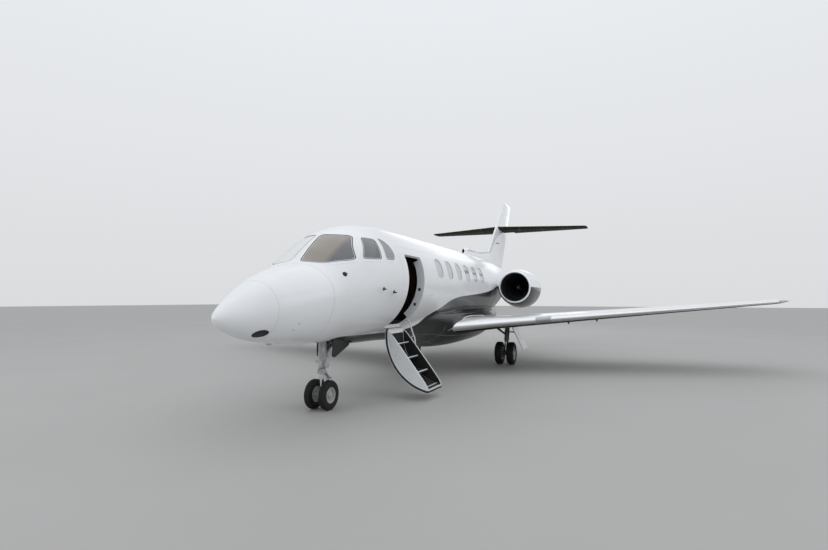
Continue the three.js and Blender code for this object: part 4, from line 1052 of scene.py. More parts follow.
# Satin charcoal under the wings and tailplane: charcoal paint, with an olive cast that is a painted
# reflection of green-brown ground below.
underside_paint_and_reflection = gloss_paint("satin_charcoal_with_painted_reflection", False, "2c2b22", "38372c", (0.62, 0.78), 0.0)
WING_FINISH = [white_paint, underside_paint_and_reflection, bright_metal]
wing_spans = [0.76, 0.95, 1.2, 1.45, *np.linspace(1.9, 4.3, 7), *np.linspace(4.8, 7.56, 7)]
whole_wing = flying_surface(surface_rows(WING, wing_spans), upper=0, lower=1, edge=2)
wing = whole_wing
for hinged in (FLAP, AILERON):
    wing = combined(wing, hinge_space(hinged, WING, False, MOVING_GAP), "DIFFERENCE")
tail_spans = [0.052, 0.39, 0.43, 0.9, 1.6, 2.3, 2.92]
# The tailplane's leading-edge band takes the olive charcoal of its underside instead of polished metal: a
# painted reflection of the dark ground in it.
whole_tail = flying_surface(surface_rows(TAILPLANE, tail_spans), upper=0, lower=1, edge=1)
tail = combined(whole_tail, hinge_space(ELEVATOR, TAILPLANE, False, MOVING_GAP), "DIFFERENCE")
BOX_FACES = [(0, 1, 3, 2), (4, 6, 7, 5), (0, 4, 5, 1), (2, 3, 7, 6), (0, 2, 6, 4), (1, 5, 7, 3)]


def block(low, high):
    """A box between two corners, given as x, station and z."""
    return ([(x, s - MIDDLE, z) for x in (low[0], high[0]) for s in (low[1], high[1])
             for z in (low[2], high[2])], BOX_FACES)


# The rudder swings through the tailplane's middle, which stops ahead of it.
for room in (((-0.01, 14.34, 4.2), (0.39, 15.4, 4.6)), ((-0.01, 14.56, 4.2), (0.428, 15.4, 4.6))):
    tail = combined(tail, block(*room), "DIFFERENCE")
for side, way in SIDES:
    build(f"wing_skin_{side}", sided([wing], way), WING_FINISH, "airframe",
          [f"wing_{side}"])
    build(f"tailplane_skin_{side}", sided([tail], way), WING_FINISH, "airframe",
          [f"tailplane_{side}"])
    for name, hinged, table, whole in (("flap", FLAP, WING, whole_wing),
                                       ("aileron", AILERON, WING, whole_wing),
                                       ("elevator", ELEVATOR, TAILPLANE, whole_tail)):
        moving = combined(whole, hinge_space(hinged, table, False, 0.0), "INTERSECT")
        build(f"{name}_skin_{side}", sided([moving], way), WING_FINISH, f"{name}_{side}",
              [f"{name}_{side}"])

# Fin and rudder, with the dorsal spine and its cooling-air scoop: painted aluminium skins on spars.
# The rudder turns on hinges behind the fin, and the spine is riveted along the crown.
fin_spans = [2.84, 3.33, 3.8, 4.35, 4.9, 5.40]
whole_fin = flying_surface(surface_rows(FIN, fin_spans), True, edge=2)
fin = combined(whole_fin, hinge_space(RUDDER, FIN, True, MOVING_GAP), "DIFFERENCE")
rudder = combined(whole_fin, hinge_space(RUDDER, FIN, True, 0.0), "INTERSECT")
build("rudder_skin", [rudder], WING_FINISH, "rudder", ["rudder"])
# Columns: station, half width, top, bottom, height of the greatest width.
DORSAL = [
    (9.30, 0.062, 3.208, 2.900, 3.090), (9.36, 0.070, 3.218, 2.900, 3.088),
    (9.48, 0.080, 3.232, 2.900, 3.085), (10.60, 0.075, 3.225, 2.850, 3.060),
    (11.50, 0.085, 3.300, 2.820, 3.060), (12.30, 0.095, 3.420, 2.800, 3.060),
    (12.60, 0.070, 3.500, 2.800, 3.060),
]
sweep = np.linspace(0, math.tau, 40, endpoint=False)
rings = []
for station in [9.30, 9.31, 9.33, 9.36, 9.42, *np.linspace(9.5, 12.6, 26)]:
    half, top, bottom, level = smooth_rows(DORSAL, station)[0]
    lift = np.where(np.sin(sweep) > 0, top - level, level - bottom) * np.sin(sweep)
    rings.append([(half * math.cos(a), station - MIDDLE, level + h) for a, h in zip(sweep, lift)])
spine = loft(rings)
mouth = [(0.036 * math.cos(a), 0.058 * math.sin(a)) for a in sweep[::2]]
throat = loft([[(x, s - MIDDLE, 3.122 + z) for x, z in mouth] for s in (9.28, 9.50)])
spine = combined(spine, (*throat, 1), "DIFFERENCE")
build("fin_skin", [fin, spine], WING_FINISH, "airframe", ["fin"])

# Nacelles: cowled ducts, deeper below than above, with a polished lip and a dark lined inlet.
# The upper cowl is white and the lower one charcoal; the fan sits well inside.
NACELLE = {"x": 1.52, "z": 2.05, "front": 9.15}
# Columns: distance behind the lip, half width, reach above the middle, reach below it.
COWL = [
    (0.004, 0.4275, 0.4275, 0.4275), (0.025, 0.444, 0.444, 0.446), (0.11, 0.470, 0.470, 0.482),
    (0.35, 0.498, 0.502, 0.535), (0.75, 0.512, 0.522, 0.582), (1.30, 0.492, 0.502, 0.575),
    (1.90, 0.425, 0.425, 0.465), (2.15, 0.382, 0.380, 0.400), (2.55, 0.290, 0.288, 0.290),
]
# Columns: distance behind the lip, radius.
DUCT = [
    (2.55, 0.272), (2.20, 0.3155), (2.10, 0.3402), (0.715, 0.3402), (0.705, 0.362), (0.55, 0.362),
    (0.20, 0.372), (0.06, 0.386), (0.03, 0.392), (0.012, 0.398), (0.003, 0.406), (0.0, 0.415),
]


def cowl_points(along, angle):
    """Points of the port nacelle's outside."""
    half, above, below = smooth_rows(COWL, along).T
    rise = np.sin(angle)
    return np.stack([NACELLE["x"] + half * np.cos(angle), along + NACELLE["front"] - MIDDLE,
                     NACELLE["z"] + np.where(rise > 0, above, below) * rise], 1)


# Perforated acoustic liner: dark resin skin with fine holes, drawn 12 mm apart to show at all.
liner = patterned("acoustic_liner", {"Scale": 1 / 0.012}, ("0c0d0e", "2a2c2e"), {"Roughness": 0.6},
                  kind=CELLS)

# Heat-stained nickel alloy: brown-grey, mottled where the jet has coloured it.
hot_metal = patterned("heat_stained_nickel", {"Scale": 5.0, "Detail": 5.0}, ("5d564f", "8a8580"),
                      {"Metallic": 0.9}, gloss=(0.3, 0.55))

LIP_BAND = 0.02  # the polished lip reaches this far back before the paint starts
COWL_SIDES = 80
sweep = np.linspace(0, math.tau, COWL_SIDES, endpoint=False)
rings, marks = [], []
for along, radius in DUCT:
    rings.append(np.stack([NACELLE["x"] + radius * np.cos(sweep),
                           np.full(COWL_SIDES, along + NACELLE["front"] - MIDDLE),
                           NACELLE["z"] + radius * np.sin(sweep)], 1))
    marks.append(3 if along > 2.0 else 2 if along > 0.07 else 1)
cowl_rows = [0.004, 0.012, 0.025, 0.05, 0.08, 0.11, *np.linspace(0.2, 2.55, 30)]
for along in cowl_rows:
    rings.append(cowl_points(np.full(COWL_SIDES, along), sweep))
    marks.append(1 if along < LIP_BAND else 0)
rings.append(rings[0])
verts, faces = loft(rings, caps=False)
nacelle = (verts, faces, [m for m in marks for _ in range(COWL_SIDES)])


def nacelle_tone(points):
    """Height above the nacelle's own colour line, which is level with its middle."""
    return points[:, 2] - NACELLE["z"]


cowl_seams = []
for along in (0.11, 0.62, 1.66, 2.15):
    cowl_seams.append(draped(cowl_points, [(along, a) for a in sweep], SEAM_WIDTH, True))
for angle in (0.35, math.pi - 0.2, -0.9, math.pi + 0.9):
    line = [(u, angle) for u in np.linspace(0.62, 1.66, 30)]
    cowl_seams.append(draped(cowl_points, line, SEAM_WIDTH))
pylon_rows = [(0.64, 9.605, 11.839, 2.085, 0.085), (1.45, 9.713, 11.614, 2.085, 0.085)]
pylon = combined(flying_surface(pylon_rows, upper=0, lower=0, edge=0),
                 loft([cowl_points(np.full(40, u), sweep[::2]) for u in cowl_rows[::2]]), "DIFFERENCE")
core = turned([(9.875, 0.17), (9.90, 0.20), (10.28, 0.21), (10.30, 0.338), (10.34, 0.338), (10.36, 0.24),
               (11.16, 0.245), (11.24, 0.20), (11.25, 0.13), (11.42, 0.07), (11.50, 0.01)],
              (NACELLE["x"], -MIDDLE, NACELLE["z"]), sides=40)
for side, way in SIDES:
    build(f"nacelle_skin_{side}", sided([nacelle], way), [hull_paint, bright_metal, liner, hot_metal],
          "airframe", [f"nacelle_{side}"], toned=nacelle_tone)
    build(f"pylon_skin_{side}", sided([pylon], way), hull_paint, "airframe",
          [f"pylon_{side}"], toned=tone_of)
    build(f"engine_core_{side}", sided([core], way), hot_metal, "airframe",
          [f"engine_{side}"])
build("cowl_seams", both_sides(cowl_seams), sealant, "airframe")

# Fans: twisted titanium blades rooted in a hub behind a turned spinner; they spin with it.
# Geometry Nodes set the blades round the hub.
FAN = {"front": 9.72, "back": 9.86, "radius": 0.350, "hub": 0.118, "blades": 28}
# Satin titanium: a dull grey metal with a fine blasted grain.
satin_titanium = patterned("satin_titanium", {"Scale": 90.0}, ("74777b",), {"Metallic": 1.0},
                           gloss=(0.32, 0.46))
blade_rows = []
for t in np.linspace(0, 1, 7):
    radius = FAN["hub"] - 0.006 + (FAN["radius"] - FAN["hub"] + 0.004) * t
    twist, chord = 0.45 + 0.65 * t, 0.045 + 0.017 * t
    section = []
    for u, v in ((-1, 0), (-0.4, 0.07), (0.3, 0.08), (1, 0), (0.3, -0.02), (-0.4, -0.03)):
        x, y = v * chord, u * chord
        section.append((x * math.cos(twist) - y * math.sin(twist),
                        x * math.sin(twist) + y * math.cos(twist), radius))
    blade_rows.append(section)
BLADE = loft(blade_rows)
spinner = [(9.63, 0.0), (9.634, 0.016), (9.645, 0.034), (9.67, 0.062), (9.71, 0.090), (9.76, 0.111),
           (9.81, 0.119), (9.86, 0.119), (9.86, 0.0)]
fan_angles = np.arange(FAN["blades"]) * math.tau / FAN["blades"] + 0.05
facing = np.stack([np.cos(fan_angles), np.zeros_like(fan_angles), np.sin(fan_angles)], 1)
for side, way in SIDES:
    hub = np.array((NACELLE["x"] * way, (FAN["front"] + FAN["back"]) / 2 - MIDDLE, NACELLE["z"]))
    repeated(f"fan_blades_{side}", [hub] * FAN["blades"], facing, BLADE, satin_titanium,
             f"fan_{side}", 1.0)
    build(f"fan_spinner_{side}", [turned(spinner, (hub[0], -MIDDLE, hub[2]), sides=40)], satin_titanium,
          f"fan_{side}", [f"fan_{side}"])

# Wheels and tyres: forged aluminium rims with bolted halves, and grooved aircraft tyres.
# The nose pair turns on the fork's axle, the main pairs carry brake packs between them.
NOSE_GEAR = {"station": 2.18, "x": 0.0, "tyre": 0.457, "width": 0.108, "half": 0.130, "rim": 0.122}
MAIN_GEAR = {"station": 8.59, "x": 1.395, "tyre": 0.584, "width": 0.178, "half": 0.155, "rim": 0.165}


def tyre_profile(gear, grooves):
    """A tyre's section as [distance across, radius], with square grooves in its tread."""
    outer, half, rim = gear["tyre"] / 2, gear["width"] / 2, gear["rim"]
    middle = rim + 0.4 * (outer - rim)
    side = [(0.80 * half, rim + 0.0006), (0.86 * half, rim + 0.012), (0.965 * half, middle - 0.012)]
    shoulder = [(half * math.cos(a) ** 0.62, middle + (outer - middle) * math.sin(a) ** 0.62)
                for a in np.linspace(0.02, 1.25, 12)]
    tread = []
    for groove in sorted((g for g in grooves if g > 0), reverse=True):
        for offset, depth in ((0.0045, 0), (0.0035, 0.006), (-0.0035, 0.006), (-0.0045, 0)):
            tread.append((groove + offset, outer - depth - 0.02 * groove * abs(groove) / half))
    flat = [p for p in shoulder if not tread or p[0] > tread[0][0] + 0.003]
    right = side + flat + tread
    if 0.0 in grooves:
        right += [(0.0045, outer), (0.0035, outer - 0.006)]
    else:
        right += [(0.002, outer)]
    left = [(-x, r) for x, r in reversed(right)]
    return [*right, *left, right[0]]


# Tyre rubber: matt black, greyed by dust, scuffed on the tread.
rubber_black = patterned("tyre_rubber", {"Scale": 14.0, "Detail": 6.0, "Roughness": 0.7},
                         ("080809", "181716"), {"Roughness": 0.78}, bump=(0.25, 0.002))

# Wheel paint: silver-grey enamel on forged aluminium, dusted by brake wear.
wheel_enamel = patterned("silver_wheel_enamel", {"Scale": 12.0, "Detail": 5.0}, ("c9cbcc", "979896"),
                         {"Roughness": 0.38, "Metallic": 0.35, "Coat Weight": 0.2})

# Carbon brake discs: dull black, mottled by soot.
brake_carbon = patterned("brake_carbon", {"Scale": 40.0}, ("1d1e1f", "3c3b39"), {"Roughness": 0.55})

BOLT = turned([(0.0, 0.0), (0.0, 1.0), (0.5, 1.0), (0.5, 0.55), (1.1, 0.5), (1.1, 0.0)], axis="z", sides=6)


def wheel_middle(gear, x):
    """The middle of a wheel that stands on the ground this far out."""
    return (x, gear["station"] - MIDDLE, gear["tyre"] / 2)


def wheel(gear, x, way):
    """A rim: flanges at the beads and a dished, recessed web on its outer side."""
    half, rim = 0.42 * gear["width"], gear["rim"]
    profile = [(-half, 0.0), (-half, 0.30 * rim), (-0.62 * half, 0.36 * rim), (-0.55 * half, 0.80 * rim),
               (-0.95 * half, 0.86 * rim), (-half, 0.985 * rim), (-0.96 * half, 1.0 * rim),
               (0.96 * half, 1.0 * rim), (half, 0.985 * rim), (0.9 * half, 0.88 * rim),
               (0.30 * half, 0.80 * rim), (0.22 * half, 0.52 * rim), (0.30 * half, 0.40 * rim),
               (0.80 * half, 0.36 * rim), (0.92 * half, 0.30 * rim), (0.96 * half, 0.0)]
    return turned([(a * way, r) for a, r in profile], wheel_middle(gear, x), "x", 48)


def wheel_bolts(name, gear, middle, count, size, body):
    """The bolts that hold together the halves of both wheels of a pair."""
    angles = np.arange(count) * math.tau / count
    ring = np.stack([np.zeros(count), np.cos(angles), np.sin(angles)], 1) * 0.66 * gear["rim"]
    spots, ways = [], []
    for way in (1, -1):
        x = middle + way * gear["half"] + way * 0.23 * 0.42 * gear["width"]
        spots += [np.array(wheel_middle(gear, x)) + place for place in ring]
        ways += [(way, 0, 0)] * count
    repeated(name, spots, ways, BOLT, steel_heads, body, size)


def in_frame(places):
    """Places given as x, station and z, in the frame's own axes."""
    return np.asarray(places, float) - (0, MIDDLE, 0)


def rod(start, end, radius, end_radius=None, sides=24):
    """A round bar or cone between two places given as x, station and z."""
    a, b = in_frame([start, end])
    along = (b - a) / np.linalg.norm(b - a)
    across = np.cross(along, (1.0, 0, 0) if abs(along[0]) < 0.8 else (0, 1.0, 0))
    across /= np.linalg.norm(across)
    other = np.cross(along, across)
    angles = np.arange(sides)[:, None] * math.tau / sides
    rings = [p + (across * np.cos(angles) + other * np.sin(angles)) * r
             for p, r in ((a, radius), (b, radius if end_radius is None else end_radius))]
    return loft(rings)


nose_profile = tyre_profile(NOSE_GEAR, (0.018,))
main_profile = tyre_profile(MAIN_GEAR, (0.0, 0.026, 0.052))
AXLE = {"nose": 0.024, "main": 0.032}
for side, way in SIDES:
    build(f"nose_tyre_skin_{side}",
          [turned(nose_profile, wheel_middle(NOSE_GEAR, way * NOSE_GEAR["half"]), "x", 72)],
          rubber_black, "nose_wheel_pair", [f"nose_tyre_{side}"])
    for name, offset in (("outer", 1), ("inner", -1)):
        x = way * (MAIN_GEAR["x"] + offset * MAIN_GEAR["half"])
        build(f"main_tyre_skin_{name}_{side}", [turned(main_profile, wheel_middle(MAIN_GEAR, x), "x", 72)],
              rubber_black, f"main_wheel_pair_{side}", [f"main_tyre_{name}_{side}"])
nose_axle = rod((-NOSE_GEAR["half"] - 0.05, NOSE_GEAR["station"], 0.2285),
                (NOSE_GEAR["half"] + 0.05, NOSE_GEAR["station"], 0.2285), AXLE["nose"])
build("nose_rims", [wheel(NOSE_GEAR, w * NOSE_GEAR["half"], w) for w in (1, -1)] + [nose_axle],
      wheel_enamel, "nose_wheel_pair", ["nose_wheels"])
wheel_bolts("nose_wheel_bolts", NOSE_GEAR, 0.0, 8, 0.008, "nose_wheel_pair")
for side, way in SIDES:
    x = way * MAIN_GEAR["x"]
    foot = MAIN_GEAR["tyre"] / 2
    axle = rod((x - 0.19, MAIN_GEAR["station"], foot), (x + 0.19, MAIN_GEAR["station"], foot), AXLE["main"])
    build(f"main_rims_{side}",
          [wheel(MAIN_GEAR, x + w * MAIN_GEAR["half"], w) for w in (1, -1)] + [axle], wheel_enamel,
          f"main_wheel_pair_{side}", [f"main_wheels_{side}"])
    wheel_bolts(f"main_wheel_bolts_{side}", MAIN_GEAR, x, 10, 0.010, f"main_wheel_pair_{side}")

# Nose gear: an oleo strut with a chromed piston, a folding drag brace behind it, torque links,
# steering jack and a taxi lamp; steel and forged alloy under pale grey enamel.
# Gear enamel: satin, with a blotchy film of oil and dust.
GEAR_FILM = {"Scale": 9.0, "Detail": 6.0, "Roughness": 0.65}
grey_enamel = patterned("pale_grey_enamel", GEAR_FILM, ("b3b7b9", "77756f"), {"Coat Weight": 0.25},
                        (0.45, 0.75), (0.28, 0.5))

# Hard chrome: a bright mirror with faint wiping marks.
chrome = patterned("hard_chrome", {"Scale": 30.0}, ("d5d8da",), {"Metallic": 1.0}, gloss=(0.05, 0.16))

# Lamp glass: fluted and glossy over a silvered reflector.
lamp_glass = patterned("lamp_glass", {"Scale": 30.0}, ("c6cbcf", "878e93"),
                       {"Roughness": 0.08, "Metallic": 0.3, "Coat Weight": 1.0, "IOR": 1.5}, kind=WAVES,
                       bands_direction="X")


def link(start, end, width, thick, end_width=None):
    """A forged link: a tapered flat bar between two places, given as x, station and z."""
    a, b = in_frame([start, end])
    along = (b - a) / np.linalg.norm(b - a)
    normal = np.cross(along, (1.0, 0, 0))
    normal /= np.linalg.norm(normal)
    rings = []
    for p, w in ((a, width), (b, width if end_width is None else end_width)):
        corners = rounded(rectangle(-w / 2, w / 2, -thick / 2, thick / 2), thick * 0.45, 3)
        rings.append([p + np.array((u, 0, 0)) + normal * v for u, v in corners])
    return loft(rings)


def path_tube(points, radius, sides=10, steps=8):
    """A tube along a smooth path through places given as x, station and z."""
    p = in_frame(points)
    p = np.concatenate([2 * p[:1] - p[1:2], p, 2 * p[-1:] - p[-2:-1]])
    path = []
    for i in range(1, len(p) - 2):
        for t in np.linspace(0, 1, steps, endpoint=False):
            path.append(0.5 * (2 * p[i] + (p[i + 1] - p[i - 1]) * t
                               + (2 * p[i - 1] - 5 * p[i] + 4 * p[i + 1] - p[i + 2]) * t**2
                               + (3 * p[i] - p[i - 1] - 3 * p[i + 1] + p[i + 2]) * t**3))
    path = np.array([*path, p[-2]])
    ahead = np.gradient(path, axis=0)
    ahead /= np.linalg.norm(ahead, axis=1)[:, None]
    side = np.cross(ahead[0], (0, 0, 1.0) if abs(ahead[0][2]) < 0.9 else (1.0, 0, 0))
    rings = []
    angles = np.arange(sides)[:, None] * math.tau / sides
    for place, way in zip(path, ahead):
        side = side - way * side.dot(way)
        side /= np.linalg.norm(side)
        rings.append(place + (side * np.cos(angles) + np.cross(way, side) * np.sin(angles)) * radius)
    return loft(rings)


LEG = NOSE_GEAR["station"]
strut = turned([(0.640, 0.0), (0.640, 0.050), (0.645, 0.060), (0.700, 0.060), (0.708, 0.056), (0.80, 0.056),
                (0.806, 0.062), (0.862, 0.062), (0.868, 0.056), (1.06, 0.056), (1.068, 0.061), (1.10, 0.061),
                (1.108, 0.054), (1.4195, 0.054), (1.4195, 0.0)], (0, LEG - MIDDLE, 0), "z", 40)
lamp_x, lamp_front, lamp_z = 0.112, 2.135, 0.69
lamp_body = turned([(lamp_front - 0.004, 0.0385), (lamp_front - 0.004, 0.042), (lamp_front + 0.016, 0.042),
                    (lamp_front + 0.03, 0.037), (lamp_front + 0.056, 0.024), (lamp_front + 0.07, 0.012),
                    (lamp_front + 0.07, 0.0), (lamp_front + 0.004, 0.0), (lamp_front + 0.004, 0.0385),
                    (lamp_front - 0.004, 0.0385)], (lamp_x, -MIDDLE, lamp_z), "y", 32)
lamp_lens = turned([(lamp_front - 0.006, 0.0), (lamp_front - 0.005, 0.02), (lamp_front - 0.001, 0.0383),
                    (lamp_front + 0.003, 0.0383), (lamp_front + 0.003, 0.0)],
                   (lamp_x, -MIDDLE, lamp_z), "y", 32)
leg_parts = [strut, lamp_body, rod((0, LEG, lamp_z), (lamp_x, LEG, lamp_z), 0.012),
             rod((-0.1497, LEG, 1.29), (0.1497, LEG, 1.29), 0.032)]
for x in (-0.034, 0.034):
    leg_parts += [rod((x, LEG + 0.045, 0.83), (x, 2.44, 1.005), 0.014),
                  rod((x, 2.44, 1.005), (x, 2.66, 1.14), 0.014)]
leg_parts += [rod((-0.055, 2.44, 1.005), (0.055, 2.44, 1.005), 0.019),
              rod((-0.055, LEG + 0.04, 0.83), (0.055, LEG + 0.04, 0.83), 0.019),
              rod((-0.07, 2.655, 1.148), (0.07, 2.655, 1.148), 0.024),
              rod((-0.085, LEG - 0.03, 0.735), (0.075, LEG - 0.03, 0.735), 0.019),
              link((0, LEG, 0.68), (0, LEG + 0.075, 0.68), 0.08, 0.035)]
leg_parts += [path_tube([(0.02, LEG + 0.062, 0.66), (0.04, LEG + 0.075, 0.80), (0.03, LEG + 0.066, 1.0),
                         (0.05, LEG + 0.05, 1.16), (0.09, LEG + 0.02, 1.25)], 0.006),
              path_tube([(-0.03, LEG + 0.06, 0.72), (-0.05, LEG + 0.066, 0.86), (-0.03, LEG + 0.064, 1.06),
                         (-0.06, LEG + 0.04, 1.22)], 0.005),
              path_tube([(lamp_x, lamp_front + 0.068, lamp_z), (0.11, LEG + 0.06, 0.76),
                         (0.06, LEG + 0.05, 0.84), (0.045, LEG + 0.045, 0.93)], 0.004)]
build("nose_strut", leg_parts, grey_enamel, "airframe", ["nose_leg"], bevel=0.002)
build("taxi_lamp_lens", [lamp_lens], lamp_glass, "airframe")

fork_parts = [
    turned([(0.548, 0.0), (0.548, 0.052), (0.556, 0.066), (0.626, 0.066), (0.633, 0.058), (0.633, 0.0)],
           (0, LEG - MIDDLE, 0), "z", 40),
    rod((-0.052, LEG, 0.2285), (0.052, LEG, 0.2285), 0.048),
    turned([(0.20, 0.0), (0.20, 0.034), (0.25, 0.040), (0.30, 0.046), (0.316, 0.046), (0.322, 0.036),
            (0.322, 0.0)], (0, LEG - MIDDLE, 0), "z", 32),
    link((0, LEG + 0.045, 0.592), (0, LEG + 0.19, 0.462), 0.085, 0.024, 0.05),
    link((0, LEG + 0.19, 0.458), (0, LEG + 0.03, 0.302), 0.05, 0.024, 0.075),
    rod((-0.046, LEG + 0.19, 0.46), (0.046, LEG + 0.19, 0.46), 0.018),
    rod((-0.048, LEG + 0.05, 0.59), (0.048, LEG + 0.05, 0.59), 0.016),
    link((0, LEG - 0.03, 0.2285), (0, 2.092, 0.2285), 0.046, 0.042, 0.034),
]
build("nose_fork_body", fork_parts, grey_enamel, "nose_steering", ["nose_fork"], bevel=0.002)
build("nose_piston", [turned([(0.30, 0.0), (0.30, 0.0385), (0.56, 0.0385), (0.56, 0.0)],
                             (0, LEG - MIDDLE, 0), "z", 40)], chrome, "nose_steering")


def side_plate(outline, x0, x1):
    """A flat plate from an outline of station and z, between two distances out."""
    return loft([[(x, s - MIDDLE, z) for s, z in outline] for x in (x0, x1)])


def cross_plate(outline, front, back):
    """A flat plate from an outline of x and z, between two stations."""
    return loft([[(x, s - MIDDLE, z) for x, z in outline] for s in (front, back)])


small_door = rounded([(2.25, 1.12), (2.755, 1.12), (2.74, 0.95), (2.32, 0.79), (2.25, 0.80)], 0.03)
inner_pan = rounded([(2.28, 1.09), (2.72, 1.09), (2.71, 0.965), (2.33, 0.825), (2.28, 0.83)], 0.02)
for side, way in SIDES:
    shapes = [side_plate(small_door, way * 0.1357, way * 0.1497),
              side_plate(inner_pan, way * 0.1307, way * 0.1367)]
    build(f"nose_door_skin_{side}", shapes, charcoal_paint, "airframe",
          [f"nose_gear_door_{side}"], bevel=0.002)

# Main gear: a leaning oleo leg between its twin wheels, with a side brace, torque links and a
# brake pack on each side of the knuckle; the white door is carried on the leg.
M = MAIN_GEAR
S = M["station"]
foot_z = M["tyre"] / 2


def leg_place(share):
    """A place on the main leg's lean: 0 at its foot, 1 at its bend and 2 at its top."""
    low, bend, high = np.array([(1.395, S, 0.292), (1.423, S, 0.640), (1.455, S, 1.0995)])
    return tuple(low + (bend - low) * share) if share <= 1 else tuple(bend + (high - bend) * (share - 1))


main_parts = [rod(leg_place(a), leg_place(b), r) for a, b, r in (
    (1.0, 1.995, 0.062), (1.0, 1.10, 0.066), (1.42, 1.56, 0.066), (0.86, 1.02, 0.056))]
main_parts += [
    rod((M["x"] - 0.056, S, foot_z), (M["x"] + 0.056, S, foot_z), 0.057),
    rod(leg_place(0.0), leg_place(0.22), 0.052),
    rod((1.429, S, 0.76), (1.02, S, 1.055), 0.026), rod((1.26, S, 0.882), (1.19, S, 0.932), 0.030),
    link((1.01, S - 0.055, 1.07), (1.01, S + 0.055, 1.07), 0.08, 0.05),
    link((M["x"] + 0.026, S + 0.055, 0.625), (M["x"], S + 0.20, 0.472), 0.09, 0.026, 0.055),
    link((M["x"], S + 0.20, 0.468), (M["x"] + 0.004, S + 0.04, 0.342), 0.055, 0.026, 0.085),
    rod((M["x"] - 0.05, S + 0.20, 0.47), (M["x"] + 0.05, S + 0.20, 0.47), 0.018),
    path_tube([(1.46, S + 0.07, 1.05), (1.45, S + 0.085, 0.86), (1.43, S + 0.08, 0.66),
               (1.42, S + 0.11, 0.52), (1.40, S + 0.07, 0.38)], 0.006),
    path_tube([(1.42, S - 0.06, 1.06), (1.42, S - 0.08, 0.88), (1.40, S - 0.07, 0.68),
               (1.39, S - 0.075, 0.5), (1.39, S - 0.05, 0.36)], 0.006),
]
# The main legs wear the same enamel, painted darker to stand for the wing's shade on them; the
# blotchy film of oil and dust is the same.
shaded_enamel = patterned("grey_enamel_in_painted_shade", GEAR_FILM, ("5c6062", "3c3b38"), {"Coat Weight": 0.25},
                        (0.45, 0.75), (0.28, 0.5))


def door_plate(out, across, front, back):
    """A plate on the main door: shares of its height, then of its thickness, between two stations."""
    corners = [(out[0], across[0]), (out[0], across[1]), (out[1], across[1]), (out[1], across[0])]
    return cross_plate([(1.617 + (1.903 - 1.617) * u + 0.0215 * v, 1.0 - 0.572 * u + 0.0103 * v)
                        for u, v in corners], front, back)


# The door's skin, then three ribs across it, three along it and two struts to the leg.
door_shapes = [door_plate((0, 1), (0.45, 1), 8.28, 8.88)]
for low, high in ((0.04, 0.10), (0.47, 0.53), (0.90, 0.96)):
    door_shapes.append(door_plate((low, high), (0, 0.5), 8.30, 8.86))
for s in (8.30, 8.56, 8.83):
    door_shapes.append(door_plate((0.06, 0.94), (0.02, 0.5), s, s + 0.03))
for z in (0.82, 0.88):
    door_shapes.append(rod((1.50, S, 0.85), (1.675, S + (0.85 - z) * 3, z), 0.012))
packs = []
for w in (1, -1):
    packs.append(turned([(0.0, 0.05), (0.0, 0.122), (0.010 * w, 0.128), (0.012 * w, 0.05), (0.0, 0.05)],
                        (M["x"] + w * 0.068 - w * 0.008, S - MIDDLE, foot_z), "x", 40))
piston = rod(leg_place(0.2), leg_place(0.9), 0.044)
for side, way in SIDES:
    build(f"main_leg_body_{side}", sided(main_parts, way), shaded_enamel, "airframe",
          [f"main_leg_{side}"], bevel=0.002)
    build(f"main_piston_{side}", sided([piston], way), chrome, "airframe")
    build(f"brake_packs_{side}", sided(packs, way), brake_carbon, "airframe")
    build(f"main_door_skin_{side}", sided(door_shapes, way), white_paint, "airframe",
          [f"main_gear_door_{side}"], bevel=0.0015)

# Airstair: the entry door itself, hinged along its sill and swung down, with four treads between
# two cheek plates and a handrail on the aft one; painted aluminium with black grip on the treads.
STAIR_HINGE = (0.49, 1.19)
STAIR_SWING = math.radians(126)
CHORD_ANGLE = math.radians(74.4)
STAIR = {"front": 3.336, "back": 4.014, "foot": 1.208, "head": 2.470, "skin": 0.050}


def swung(points, angle=STAIR_SWING):
    """Places on the closed door turned about its hinge to where they are with the stair open."""
    x, y, z = np.asarray(points, float).T
    x, z = x - STAIR_HINGE[0], z - STAIR_HINGE[1]
    return np.stack([STAIR_HINGE[0] + x * math.cos(angle) + z * math.sin(angle), y,
                     STAIR_HINGE[1] - x * math.sin(angle) + z * math.cos(angle)], 1)


def opened(shape):
    """A shape drawn on the closed door, with the stair open."""
    return (swung(shape[0]), *shape[1:])


def on_chord(along, inwards):
    """x and z of a place along the closed door's chord and inwards from it."""
    return (STAIR_HINGE[0] + along * math.cos(CHORD_ANGLE) - inwards * math.sin(CHORD_ANGLE),
            STAIR_HINGE[1] + along * math.sin(CHORD_ANGLE) + inwards * math.cos(CHORD_ANGLE))


# Stair enamel: pale grey satin, scuffed by shoes and baggage.
stair_enamel = patterned("satin_grey_enamel", {"Scale": 18.0, "Detail": 8.0, "Roughness": 0.7},
                         ("e4e7e9", "d2d5d7"), {}, (0.56, 0.66), (0.36, 0.55))

# Grip tape: black mineral grit on the treads, its grains drawn 4 mm across to show.
grip = patterned("black_grip_tape", {"Scale": 1 / 0.004}, ("0d0d0e", "262627"), {"Roughness": 0.9},
                 bump=(0.5, 0.001), kind=CELLS)

